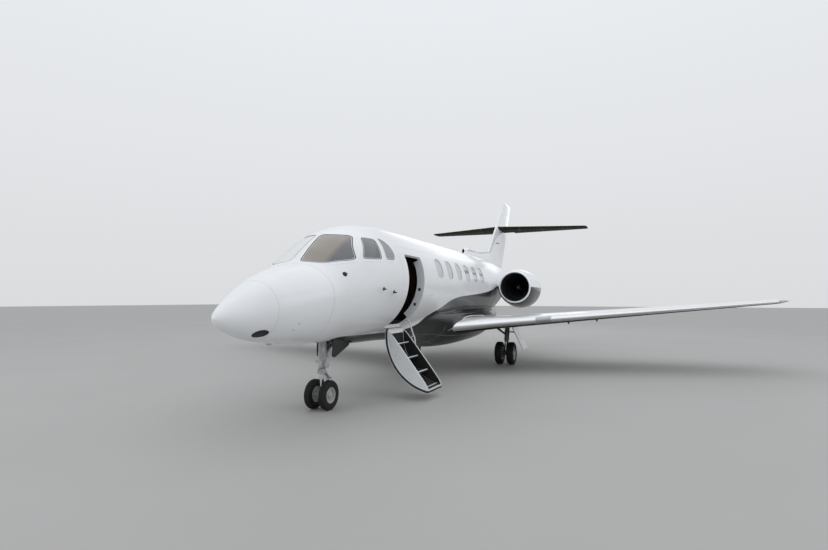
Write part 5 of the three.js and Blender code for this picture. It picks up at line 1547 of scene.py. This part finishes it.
stair_corners = rectangle(STAIR["front"], STAIR["back"], STAIR["foot"], STAIR["head"])
stair_outline = spaced(rounded(stair_corners, 0.045), 0.03)
stair_hole = side_hole(stair_outline)
lining_hole = side_hole(spaced(rounded([(s + 0.06 * (3.675 - s) / 0.339, z + 0.05 * (1.84 - z) / 0.63)
                                        for s, z in stair_corners], 0.03), 0.03))
hinge_ears = [(0.478, 1.186), (0.502, 1.186), (0.508, 1.212), (0.503, 1.234), (0.480, 1.224)]
LEAF = (3.47, 3.88)
hinge_block = cross_plate(hinge_ears, *LEAF)
hinge_pin = rod((STAIR_HINGE[0], LEAF[0], STAIR_HINGE[1]), (STAIR_HINGE[0], LEAF[1], STAIR_HINGE[1]), 0.013)
door_skin = opened(hull_panel(stair_hole, (0.0, STAIR["skin"]), 0.06))
build("airstair_skin", [door_skin, opened(hinge_block), opened(hinge_pin)], hull_paint, "airstair",
      ["airstair_door"], sharp=30.0, toned=lambda p: tone_of(swung(p, -STAIR_SWING)))
edge_strips = [opened(hull_ribbon(stair_hole, 0.016, True, shift=-0.009, lift=0.0012)),
               opened(hull_ribbon(stair_hole, 0.012, True, shift=-0.012, lift=-0.0495, sink=0.056))]
build("airstair_edges", edge_strips, bright_metal, "airstair")
lining_and_shade_sheets = [opened(hull_panel(lining_hole, (STAIR["skin"] - 0.001, STAIR["skin"] + 0.005), 0.08))]
door_seal = hull_ribbon(stair_hole, 0.003, True, shift=-0.001, lift=-0.006, sink=0.044)
build("airstair_seal", [opened(door_seal)], black_seal, "airstair")

# Cheek plates: their outer edge follows the door's skin, their inner edge bows past its chord.
cheek_angles = np.linspace(0.40, -1.0, 26)
cheek_station = np.full(26, 3.675)
skin_line = hull_points(cheek_station, cheek_angles) - hull_normals(cheek_station, cheek_angles) * 0.0515
INNER_EDGE = [(0.075, -0.02), (0.062, 0.015), (0.10, 0.034), (0.20, 0.043), (0.45, 0.046), (0.70, 0.046),
              (0.95, 0.045), (1.18, 0.040), (1.272, 0.025), (1.293, 0.0)]
cheek = [on_chord(*p) for p in INNER_EDGE] + [(x, z) for x, _, z in skin_line]
CHEEKS = ((3.350, 3.376), (3.974, 4.000))
PRESSING = 0.004  # the front cheek's pressed panel stands this far proud
cheek_middle = np.mean(cheek, 0)
cheek_shapes = [opened(cross_plate(cheek, *c)) for c in CHEEKS]
pressing = [tuple(cheek_middle + (np.array(p) - cheek_middle) * 0.88) for p in cheek]
cheek_shapes.append(opened(cross_plate(pressing, CHEEKS[0][0] - PRESSING, CHEEKS[0][0] + 0.001)))
build("airstair_cheeks", cheek_shapes, stair_enamel, "airstair", ["airstair_steps"],
      sharp=30.0, bevel=0.004)
# Black grip sheets line the inside of the door skin and the cheeks' inner faces; on the cheeks they are
# painted shade between them.
shrunk = [0.98] * len(INNER_EDGE) + [0.999] * len(skin_line)
cheek_shade_outline = [tuple(cheek_middle + (np.array(p) - cheek_middle) * share) for p, share in zip(cheek, shrunk)]
for inner in (CHEEKS[0][1], CHEEKS[1][0]):
    lining_and_shade_sheets.append(opened(cross_plate(cheek_shade_outline, inner - 0.001, inner + 0.001)))
build("airstair_lining", lining_and_shade_sheets, grip, "airstair")
# Raised strips of polished metal over the cheeks' inner edges: a painted highlight along their rounded rims.
cheek_edge = np.array([(x, 0.0, z) for x, z in cheek[1:10]])
rim_highlight_shapes = []
for front, back in CHEEKS:
    line = cheek_edge + (0, (front + back) / 2 - MIDDLE, 0)
    flow = np.gradient(line, axis=0)
    normal = np.cross((0, 1.0, 0), flow)
    normal /= np.linalg.norm(normal, axis=1)[:, None]
    if normal[4][0] > 0:
        normal = -normal
    rim_highlight_shapes.append(opened(ribbon(line, normal, back - front + 0.004, lift=0.002, sink=0.001)))

# The steps' places along the closed door's chord and inwards from it, and their sizes.
STEP = {"count": 4, "first": 0.330, "pitch": 0.303, "inwards": -0.030, "depth": 0.215, "thick": 0.034}
RIB_PITCH = 0.018
skin_open = swung(skin_line)
order = np.argsort(skin_open[:, 2])
front, back = CHEEKS[0][1] - 0.001, CHEEKS[1][0] + 0.001
tread_shapes, nosing_shapes, grip_shapes, rib_places, cheek_bolts = [], [], [], [], []
for i in range(STEP["count"]):
    x, z = on_chord(STEP["first"] + i * STEP["pitch"], STEP["inwards"])
    nose_x, _, level = swung([(x, 0, z)])[0]
    skin_x = max(np.interp(level + d, skin_open[order, 2], skin_open[order, 0]) for d in (-0.017, 0.017))
    back_x = max(nose_x - STEP["depth"], skin_x + 0.001)
    low, high = level - STEP["thick"] / 2, level + STEP["thick"] / 2
    tread_shapes.append(block((back_x, front, low), (nose_x - 0.003, back, high - 0.003)))
    nose = [(nose_x - 0.030, high - 0.004), (nose_x - 0.030, high), (nose_x, high), (nose_x, high - 0.012),
            (nose_x - 0.004, high - 0.012), (nose_x - 0.004, high - 0.004)]
    nosing_shapes.append(cross_plate(rounded(nose, 0.0015, 3), front, back))
    grip_shapes.append(block((back_x + 0.004, front + 0.01, high - 0.004),
                             (nose_x - 0.036, back - 0.01, high - 0.001)))
    for share in (0.25, 0.5, 0.75):
        cheek_bolts.append((back_x + share * (nose_x - back_x), CHEEKS[0][0] - PRESSING - MIDDLE, level))
    for k in range(int((nose_x - back_x - 0.05) / RIB_PITCH)):
        rib_places.append((nose_x - 0.046 - RIB_PITCH * k, (front + back) / 2 - MIDDLE, high - 0.001))
build("airstair_treads", tread_shapes, black_seal, "airstair", bevel=0.002)
build("airstair_nosings", nosing_shapes, stair_enamel, "airstair")
build("airstair_trim", rim_highlight_shapes, bright_metal, "airstair")
build("airstair_grip", grip_shapes, grip, "airstair")
RIB = ([(x, y, z) for x in (-0.003, 0.003) for y in (-0.29, 0.29) for z in (-0.001, 0.0025)], BOX_FACES)
repeated("airstair_tread_ribs", rib_places, [(0, 0, 1)] * len(rib_places), RIB, grip, "airstair", 1.0)
repeated("airstair_cheek_bolts", cheek_bolts, [(0, -1.0, 0)] * len(cheek_bolts), BOLT, steel_heads,
         "airstair", 0.005)
RAIL_STATION = 3.987
RAIL = [(0.590, -0.068), (0.47, 0.018), (0.343, 0.103), (0.275, 0.122), (0.16, 0.162), (0.041, 0.205),
        (-0.025, 0.208)]
POST = [(0.30, 0.03), (0.275, 0.118)]
rail, post = ([(x, RAIL_STATION, z) for x, z in (on_chord(*p) for p in line)] for line in (RAIL, POST))
build("airstair_handrail", [opened(path_tube(rail, 0.0125, 16)), opened(rod(*post, 0.009))], stair_enamel,
      "airstair")

# Doorway: a pressed post inside the skin on each side of the opening, with latch sockets in the aft
# one, and hinge lugs on the sill that carry the stair's pin.
LUG = [(0.352, 1.172), (0.352, 1.180), (0.462, 1.196), (0.490, 1.203), (0.503, 1.190), (0.490, 1.177),
       (0.440, 1.170)]
lug_shapes = []
for front, back in ((3.4097, 3.4697), (3.8803, 3.9403)):
    lug_shapes += [cross_plate(LUG, front, back), rod((0.49, front, 1.19), (0.49, back, 1.19), 0.0135)]
build("stair_hinge_lugs", lug_shapes, stair_enamel, "airframe", bevel=0.001)
JAMB = 0.15
jamb_shapes = []
for front, back in ((3.295, 3.328), (4.022, 4.055)):
    post = np.array(rectangle(front, back, 1.33, 2.45))
    jamb_shapes.append(hull_panel(side_hole(spaced(post, 0.04)), (WALL - 0.001, JAMB), 0.05))
build("door_jamb", jamb_shapes, stair_enamel, "airframe", sharp=30.0)
sockets = []
for z in (1.885, 1.61):
    x = hull_points(np.array([4.021]), np.array([math.asin((z - 2.05) / 0.965)]))[0][0]
    sockets.append(block((x - 0.115, 4.0205, z - 0.028), (x - 0.065, 4.0235, z + 0.028)))
build("door_latch_sockets", sockets, black_seal, "airframe", bevel=0.002)

# Cabin: carpeted floor, laminate bulkheads and the instrument panel, seen through the doorway
# and the windscreen; these keep their solids and take the finishes below.


def refinish(node, material):
    """Gives a carried-over solid its finish."""
    for held in bpy.data.objects[node].material_slots:
        held.material = material


# Wool carpet: cut pile, its tufts drawn 6 mm across to show.
carpet = patterned("wool_carpet", {"Scale": 1 / 0.006}, ("4a443d", "6a6258"),
                   {"Roughness": 0.95, "Sheen Weight": 0.4}, bump=(0.6, 0.003), kind=CELLS)
# Walnut veneer: figured wood under clear lacquer; darkened almost to black as painted shade for the dim
# cabin.
veneer = patterned("walnut_veneer_in_painted_shade",
                   {"Scale": 3.0, "Distortion": 6.0, "Detail": 4.0, "Detail Scale": 2.0},
                   ("1c130e", "2e2018"), {"Roughness": 0.25, "Coat Weight": 0.6}, kind=WAVES,
                   bands_direction="X")
# Crackle paint: matt black with a fine rough grain, as on instrument panels.
panel_black = patterned("crackle_black_panel", {"Scale": 250.0}, ("17181a", "242629"), {"Roughness": 0.7},
                        bump=(0.3, 0.001))
for node, finish in (("cabin_floor", carpet), ("cockpit_bulkhead", veneer), ("cabin_bulkhead", veneer),
                     ("instrument_panel", panel_black)):
    refinish(node, finish)

# Displays in their bezels on the instrument panel, two yokes behind it and two levers on the
# pedestal: glass screens in black metal, and painted tubes bent to shape.
# Display glass: near black and glossy, with faint marks of wiping.
screen = patterned("display_glass", {"Scale": 8.0}, ("090b10", "141922"), {"Roughness": 0.08, "IOR": 1.5})
PANEL_FACE = 1.98 + (2.04 - 1.90) * 0.10  # the panel leans; this is its station at mid height
screens, bezels, yokes = [], [], []
for x in (-0.52, -0.30, 0.0, 0.30, 0.52):
    screens.append(block((x - 0.085, PANEL_FACE - 0.01, 1.955), (x + 0.085, PANEL_FACE + 0.006, 2.125)))
    bezels.append(block((x - 0.098, PANEL_FACE - 0.012, 1.942), (x + 0.098, PANEL_FACE + 0.002, 2.138)))
for x in (-0.40, 0.40):
    yokes += [path_tube([(x, 1.96, 1.86), (x, 2.10, 1.87), (x, 2.17, 1.87)], 0.016),
              path_tube([(x - 0.15, 2.17, 2.00), (x - 0.155, 2.175, 1.91), (x - 0.08, 2.18, 1.865),
                         (x, 2.18, 1.865), (x + 0.08, 2.18, 1.865), (x + 0.155, 2.175, 1.91),
                         (x + 0.15, 2.17, 2.00)], 0.014)]
for x in (-0.035, 0.035):
    yokes += [link((x, 2.20, 1.77), (x, 2.24, 1.87), 0.012, 0.02),
              rod((x - 0.02, 2.245, 1.875), (x + 0.02, 2.245, 1.875), 0.014)]
build("cockpit_displays", screens, screen, "airframe", bevel=0.003)
build("cockpit_controls", bezels + yokes, panel_black, "airframe", bevel=0.002)

# Crew seats: foam cushions, backs and headrests covered in pale leather with welted edges, held on
# black shells that stand on a pedestal.
# Grained leather: soft brown-grey hide, its pebble grain drawn 5 mm across to show.
seat_leather, tree = new_material("grained_leather")
place = add_node(tree, "ShaderNodeTexCoord")
grain = add_node(tree, "ShaderNodeTexVoronoi", {"Scale": 1 / 0.005}, {"Vector": place.outputs["Object"]})
creases = add_node(tree, "ShaderNodeTexNoise", {"Scale": 7.0, "Detail": 5.0},
                   {"Vector": place.outputs["Object"]})
hide = add_node(tree, "ShaderNodeMix", {6: linear("8b8175"), 7: linear("a79c8e")},
                {0: creases.outputs[0]}, data_type="RGBA")
pores = add_node(tree, "ShaderNodeBump", {"Strength": 0.3, "Distance": 0.001}, {"Height": grain.outputs[0]})
leather = add_node(tree, "ShaderNodeBsdfPrincipled", {"Roughness": 0.5, "IOR": 1.45},
                   {"Base Color": hide.outputs[2], "Normal": pores.outputs[0]})
finish_material(tree, leather)


PAD_SIDES = 40
VOXEL = 0.009
COVER_PRESSURE = 4.0
COVER_SWELL = 0.010  # the cover may move this far off its foam


def laid(points, middle, tilt):
    """Points drawn about the origin, tipped back and moved to a middle of x, station and z."""
    x, y, z = np.moveaxis(np.asarray(points, float), -1, 0)
    tipped = np.stack([x, y * math.cos(tilt) - z * math.sin(tilt),
                       y * math.sin(tilt) + z * math.cos(tilt)], -1)
    return tipped + (middle[0], middle[1] - MIDDLE, middle[2])


def pad_outline(wide, deep, sides=PAD_SIDES):
    """A rounded square whose sides draw in a little between its corners."""
    a = np.arange(sides) * math.tau / sides
    x = np.sign(np.cos(a)) * np.abs(np.cos(a)) ** 0.4
    y = np.sign(np.sin(a)) * np.abs(np.sin(a)) ** 0.4
    drawn = 1 - 0.04 * np.cos(2 * a) ** 2
    return np.stack([wide / 2 * x * drawn, deep / 2 * y * drawn], 1)


def foam(middle, size, tilt, crown=0.35):
    """A closed foam pad: flat under, crowned on top."""
    outline = pad_outline(size[0], size[1])
    profile = [(0.02, -0.5), (0.5, -0.5), (0.88, -0.48), (0.97, -0.38), (1.0, -0.15), (1.0, 0.05),
               (0.97, 0.5 - crown), (0.88, 0.5 - crown * 0.55), (0.7, 0.5 - crown * 0.22), (0.4, 0.48),
               (0.02, 0.5)]
    rings = [np.column_stack([outline * share, np.full(len(outline), height * size[2])])
             for share, height in profile]
    points, faces = loft(rings)
    return laid(points, middle, tilt), faces


def covered(shape):
    """The pad's shape after its leather, run as cloth under pressure, has swelled off the foam."""
    pad = new_object("work", clean_mesh("work", [shape]))
    even = pad.modifiers.new("even", "REMESH")
    even.mode = "VOXEL"
    even.voxel_size = VOXEL
    mesh = evaluated(pad)
    pad.modifiers.clear()
    pad.data = mesh
    start = np.array([v.co for v in mesh.vertices])
    faces = [tuple(p.vertices) for p in mesh.polygons]
    swell = start * 0
    cover = pad.modifiers.new("cover", "CLOTH")
    cover.settings.use_pressure = True
    cover.settings.uniform_pressure_force = COVER_PRESSURE
    cover.settings.effector_weights.gravity = 0.0
    for frame_number in range(1, 21):
        scene.frame_set(frame_number)
    blown = evaluated(pad)
    swell = np.array([v.co for v in blown.vertices]) - start
    swell *= np.minimum(1, COVER_SWELL / np.maximum(np.linalg.norm(swell, axis=1), 1e-6))[:, None]
    scene.frame_set(1)
    bpy.data.objects.remove(pad)
    return start + swell, faces


# Columns: pad, station and height of its middle, width, length, thickness, tilt.
SEAT_PADS = [
    ("seat_cushion", 2.70, 1.620, 0.430, 0.410, 0.095, 0.05),
    ("seat_back", 2.868, 1.945, 0.420, 0.520, 0.085, math.pi / 2 - 0.09),
    ("headrest", 2.900, 2.345, 0.250, 0.130, 0.070, math.pi / 2 - 0.04),
]
for name, station, z, width, length, thick, tilt in SEAT_PADS:
    spot = (0.40, station, z)
    pad = covered(foam(spot, (width, length, thick), tilt))
    edge = np.column_stack([pad_outline(width, length, 80) * 1.012, np.full(80, 0.1 * thick)])
    welt = laid(np.concatenate([edge, edge[:2]]), spot, tilt) + (0, MIDDLE, 0)
    for side, way in SIDES:
        cover = build(f"crew_{name}_{side}", sided([pad], way), seat_leather, "airframe",
                      sharp=180.0)
        build(f"crew_{name}_welt_{side}", sided([path_tube(welt, 0.0045, 8, 1)], way), seat_leather,
              "airframe")
seat_shell = [block((0.20, 2.52, 1.50), (0.60, 2.93, 1.585)), block((0.31, 2.60, 1.305), (0.49, 2.86, 1.51)),
              block((0.19, 2.925, 1.52), (0.61, 2.952, 2.24))]
for x in (0.34, 0.46):
    seat_shell.append(rod((x, 2.935, 2.20), (x, 2.935, 2.36), 0.008))
for side, way in SIDES:
    build(f"crew_seat_shell_{side}", sided(seat_shell, way), panel_black, "airframe",
          [f"crew_seat_{side}"], bevel=0.012)

# Small fittings: nose and tail caps, jacking pads, lamps, probes, ports and caps.
# They are turned or moulded pieces, fastened through the skin from inside.


def skin_spot(station, z):
    """A place on the hull's port side and the way it faces."""
    place = side_hole(np.array([[station, z]])).T
    return hull_points(*place)[0], hull_normals(*place)[0]


def fitted(shape, point, normal):
    """A shape drawn on the floor at the origin, stood on a place of a surface."""
    turn = np.array(Vector(normal).to_track_quat("Z", "Y").to_matrix())
    return (np.asarray(shape[0], float) @ turn.T + point, *shape[1:])


def stud(radius, height, sink=0.003):
    """A low round head with a chamfered edge."""
    return turned([(-sink, 0.0), (-sink, radius), (height * 0.5, radius), (height, radius * 0.8),
                   (height, 0.0)], axis="z", sides=32)


half, top, bottom, level = smooth_rows(HULL, 0.0)[0]
cap = turned([(0.0, 0.0), (0.0, half * 0.7), (0.003, half + 0.0016), (0.008, half + 0.0016), (0.008, 0.0)],
             (0, -MIDDLE, (top + bottom) / 2))
tail_ring = hull_points(np.full(64, TAIL_END - 0.0005), np.arange(64) * math.tau / 64)
tail_middle = tail_ring.mean(0)
tail_cap = loft([tail_middle + (tail_ring - tail_middle) * share + (0, along, 0) for share, along in
                 ((0.99, -0.006), (1.0, 0.0), (0.93, 0.010), (0.7, 0.019), (0.4, 0.024), (0.05, 0.025))])
NOSE_JACK = turned([(0.0, 0.0), (0.0, 0.031), (0.004, 0.035), (0.090, 0.035), (0.090, 0.0)],
                   (0, 0.95 - MIDDLE, 1.09), "z")
WING_JACK = turned([(0.0, 0.0), (0.0, 0.041), (0.004, 0.045), (0.090, 0.045), (0.090, 0.0)],
                   (2.3, 8.3 - MIDDLE, 1.072), "z")
build("end_caps", [cap, tail_cap], white_paint, "airframe")
build("jacking_pads", [NOSE_JACK, *both_sides([WING_JACK])], steel_heads, "airframe")

# Lamps: an oval one on each side under the nose behind dark glass, and clear lenses moulded to the
# wings' leading edges, their tips and the tail.
oval = np.array([(0.512 + 0.082 * math.cos(a), 1.277 + 0.042 * math.sin(a))
                 for a in np.linspace(0, math.tau, 40, endpoint=False)])
lamp_hole = side_hole(oval)
build("nose_lamps", both_sides([hull_panel(lamp_hole, (-0.002, 0.004), 0.03)]), screen, "airframe")
bezel = hull_ribbon(lamp_hole, 0.007, True, shift=0.003, lift=0.0028)
build("nose_lamp_bezels", both_sides([bezel]), black_seal, "airframe")
tail_lens = turned([(0.0, 0.0), (0.0, 0.030), (0.014, 0.027), (0.024, 0.016), (0.027, 0.0)],
                   tail_middle + (0, 0.024, 0))
lenses = [(*tail_lens, 0)]
# Columns: inner and outer span, depth behind the leading edge, growth in plan and in thickness.
WING_LENSES = [(2.41, 2.74, 0.085, 1.004, 1.02), (7.575, 7.760, 0.060, 1.012, 1.06)]
for inner, outer, depth, plan, thick in WING_LENSES:
    edges = [table_row(WING, span)[0] - MIDDLE for span in (inner, outer)]
    corners = [(inner, edges[0] - 0.2), (outer, edges[1] - 0.2), (outer, edges[1] + depth),
               (inner, edges[0] + depth)]
    cutter = loft([[(x, y, z) for x, y in corners] for z in (0.9, 1.9)])
    lens = combined(whole_wing, (*cutter, 0), "INTERSECT")
    points = np.array(lens[0])
    middle = (points.min(0) + points.max(0)) / 2
    lenses.append((middle + (points - middle) * (plan, 1.01, thick), lens[1], 0))
build("wing_and_tail_lenses", [lenses[0], *both_sides(lenses[1:])], lamp_glass, "airframe")

# Probes and ports: the angle-of-attack plate, two pitot heads a side, static ports and fuel caps.
# The heads stand on small plates that are screwed to the skin.


def foil_reach(table, span, station):
    """The height of a surface's middle plane at a place, and how far its skin lies from it."""
    front, back, offset, ratio = table_row(table, span)
    return offset, half_thickness(ratio, (station - front) / (back - front)) * (back - front)


plates, tubes, ports = [], [], []
point, normal = skin_spot(1.666, 2.056)
plates.append(fitted(stud(0.036, 0.004), point, normal))
vane_root, vane_tip = point - normal * 0.002, point + normal * 0.035
tubes.append(link(vane_root + (0, MIDDLE, 0), vane_tip + (0, MIDDLE + 0.04, 0), 0.028, 0.006, 0.016))
for station, z in ((2.486, 1.863), (2.816, 1.821)):
    point, normal = skin_spot(station, z)
    plates.append(fitted(stud(0.028, 0.003), point, normal))
    path = [point - normal * 0.004, point + normal * 0.045 - (0, 0.015, 0),
            point + normal * 0.066 - (0, 0.050, 0), point + normal * 0.068 - (0, 0.155, 0)]
    tubes.append(path_tube([p + (0, MIDDLE, 0) for p in path], 0.009))
for station, z in ((0.925, 1.389), (0.900, 1.306), (4.45, 1.78), (4.53, 1.78)):
    ports.append(fitted(stud(0.011, 0.002), *skin_spot(station, z)))
for span, station in ((3.6, 8.55), (5.9, 9.55)):
    plane, reach = foil_reach(WING, span, station)
    ports.append(fitted(stud(0.045, 0.003), (span, station - MIDDLE, plane + reach), (0, 0, 1.0)))
build("probe_plates", both_sides(plates), panel_black, "airframe")
build("probe_tubes", both_sides(tubes), panel_black, "airframe")
build("ports_and_caps", both_sides(ports), steel_heads, "airframe")

# Blade aerial on the crown and flap hinge fairings under the wings: moulded glass fibre, screwed on.
# A thin black strip is laid along each side of the fin.
crown = smooth_rows(HULL, 8.37)[0][1]
blades = []
for z, front, back, thick in ((crown - 0.02, 8.27, 8.44, 0.016), (3.15, 8.35, 8.43, 0.009),
                              (3.17, 8.37, 8.42, 0.005)):
    middle, reach = (front + back) / 2, (back - front) / 2
    blades.append([(thick / 2 * math.sin(a), middle - math.cos(a) * reach - MIDDLE, z)
                   for a in np.linspace(0, math.tau, 24, endpoint=False)])
fairings = []
for span, hinge in ((2.96, 9.28), (3.64, 9.44)):
    rings = []
    for share in np.linspace(0, 1, 14):
        station = hinge - 0.60 + 0.56 * share
        plane, reach = foil_reach(WING, span, station)
        under = plane - reach
        drop = 0.004 + 0.115 * math.sin(math.pi * share**1.6) ** 0.8 if 0 < share < 1 else 0.004
        wide = 0.004 + 0.024 * math.sin(math.pi * min(share + 0.02, 0.98)) ** 0.6
        rings.append([(span + wide * math.cos(a), station - MIDDLE,
                       under + 0.012 + (drop + 0.012) * min(math.sin(a), 0.0))
                      for a in np.linspace(0, math.tau, 20, endpoint=False)])
    fairings.append(loft(rings))
build("crown_aerial", [loft(blades)], white_paint, "airframe")
build("flap_hinge_fairings", both_sides(fairings), underside_paint_and_reflection, "airframe")
fin_strip = []
for station in np.linspace(12.80, 13.30, 12):
    z = 3.722 + (station - 12.80) * 0.107
    fin_strip.append((foil_reach(FIN, z, station)[1], station - MIDDLE, z))
build("fin_vents", both_sides([ribbon(fin_strip, [(1.0, 0, 0)] * 12, 0.030, lift=0.0015, sink=0.004)]), black_seal,
      "airframe")

# Root fillet highlight: a bright polished strip that runs over the wing's root from below its leading
# edge, laid on the fairing as a painted highlight where the glossy fillet catches the light.
# Columns: station, height.
FILLET_LINE = [(5.883, 1.013), (6.12, 1.09), (6.353, 1.165), (6.520, 1.262), (6.80, 1.306), (7.057, 1.315),
               (7.972, 1.294), (8.284, 1.196)]
fillet_line = []
angles = np.linspace(-1.3, 0.5, 120)
for station in np.linspace(5.89, 8.28, 60):
    height = smooth_rows(FILLET_LINE, station)[0][0]
    levels = belly_points(np.full(120, station), angles)[:, 2]
    fillet_line.append((station, np.interp(height, levels, angles)))
build("root_fillet_trim", both_sides([draped(belly_points, fillet_line, 0.022, lift=0.003)]), bright_metal,
      "airframe")

# Static wicks: carbon rods screwed to the trailing edges of the ailerons and elevators, which lead
# charge off into the air; they are set by Geometry Nodes.
WICK = turned([(-0.004, 0.0), (-0.004, 0.005), (0.012, 0.004), (0.090, 0.0016), (0.092, 0.0)],
              axis="z", sides=8)
for surface, table, spans in (("aileron", WING, (5.6, 6.3, 7.0)), ("elevator", TAILPLANE, (1.6, 2.4))):
    for side, way in SIDES:
        rows = [(x, table_row(table, x)) for x in spans]
        ends = [(way * x, row[1] - MIDDLE, row[2]) for x, row in rows]
        repeated(f"{surface}_wicks_{side}", ends, [(0, 1.0, 0)] * len(ends), WICK, black_seal,
                 f"{surface}_{side}", 1.0)

# Wing and tail panel joints: chordwise and spanwise seams in the skins, over and under, filled with
# the same sealant as the fuselage's.


def foil_place(table, way):
    """Places on a flat surface's upper or lower skin from the distance out and the share of the chord."""

    def place(span, chord):
        front, back, offset, ratio = table_row(table, span)
        thick = half_thickness(ratio, np.maximum(chord, 0)) * (back - front)
        return np.stack([span, front + chord * (back - front) - MIDDLE, offset + way * thick], 1)

    return place


# Columns: table, spans of the chordwise seams, first and last share of the chord, shares of the
# spanwise ones.
FOIL_SEAMS = [
    (WING, (1.75, 2.9, 4.05, 4.75, 5.9, 7.05), 0.055, 0.66, (0.16, 0.60)),
    (TAILPLANE, (0.75, 1.5, 2.25), 0.055, 0.60, (0.20,)),
]
foil_seams = []
for table, spans, first, last, shares in FOIL_SEAMS:
    reach = np.linspace(table[0][0] + 0.35, table[-2][0] - 0.1, 40)
    for way in (1, -1):
        place = foil_place(table, way)
        depths = {"lift": 0.0005, "sink": 0.002} if way > 0 else {"lift": 0.002, "sink": 0.0005}
        lines = [[(span, share) for share in np.linspace(first, last, 24)] for span in spans]
        lines += [[(span, share) for span in reach] for share in shares]
        foil_seams += [draped(place, line, SEAM_WIDTH, **depths) for line in lines]
build("wing_and_tail_seams", both_sides(foil_seams), sealant, "airframe")
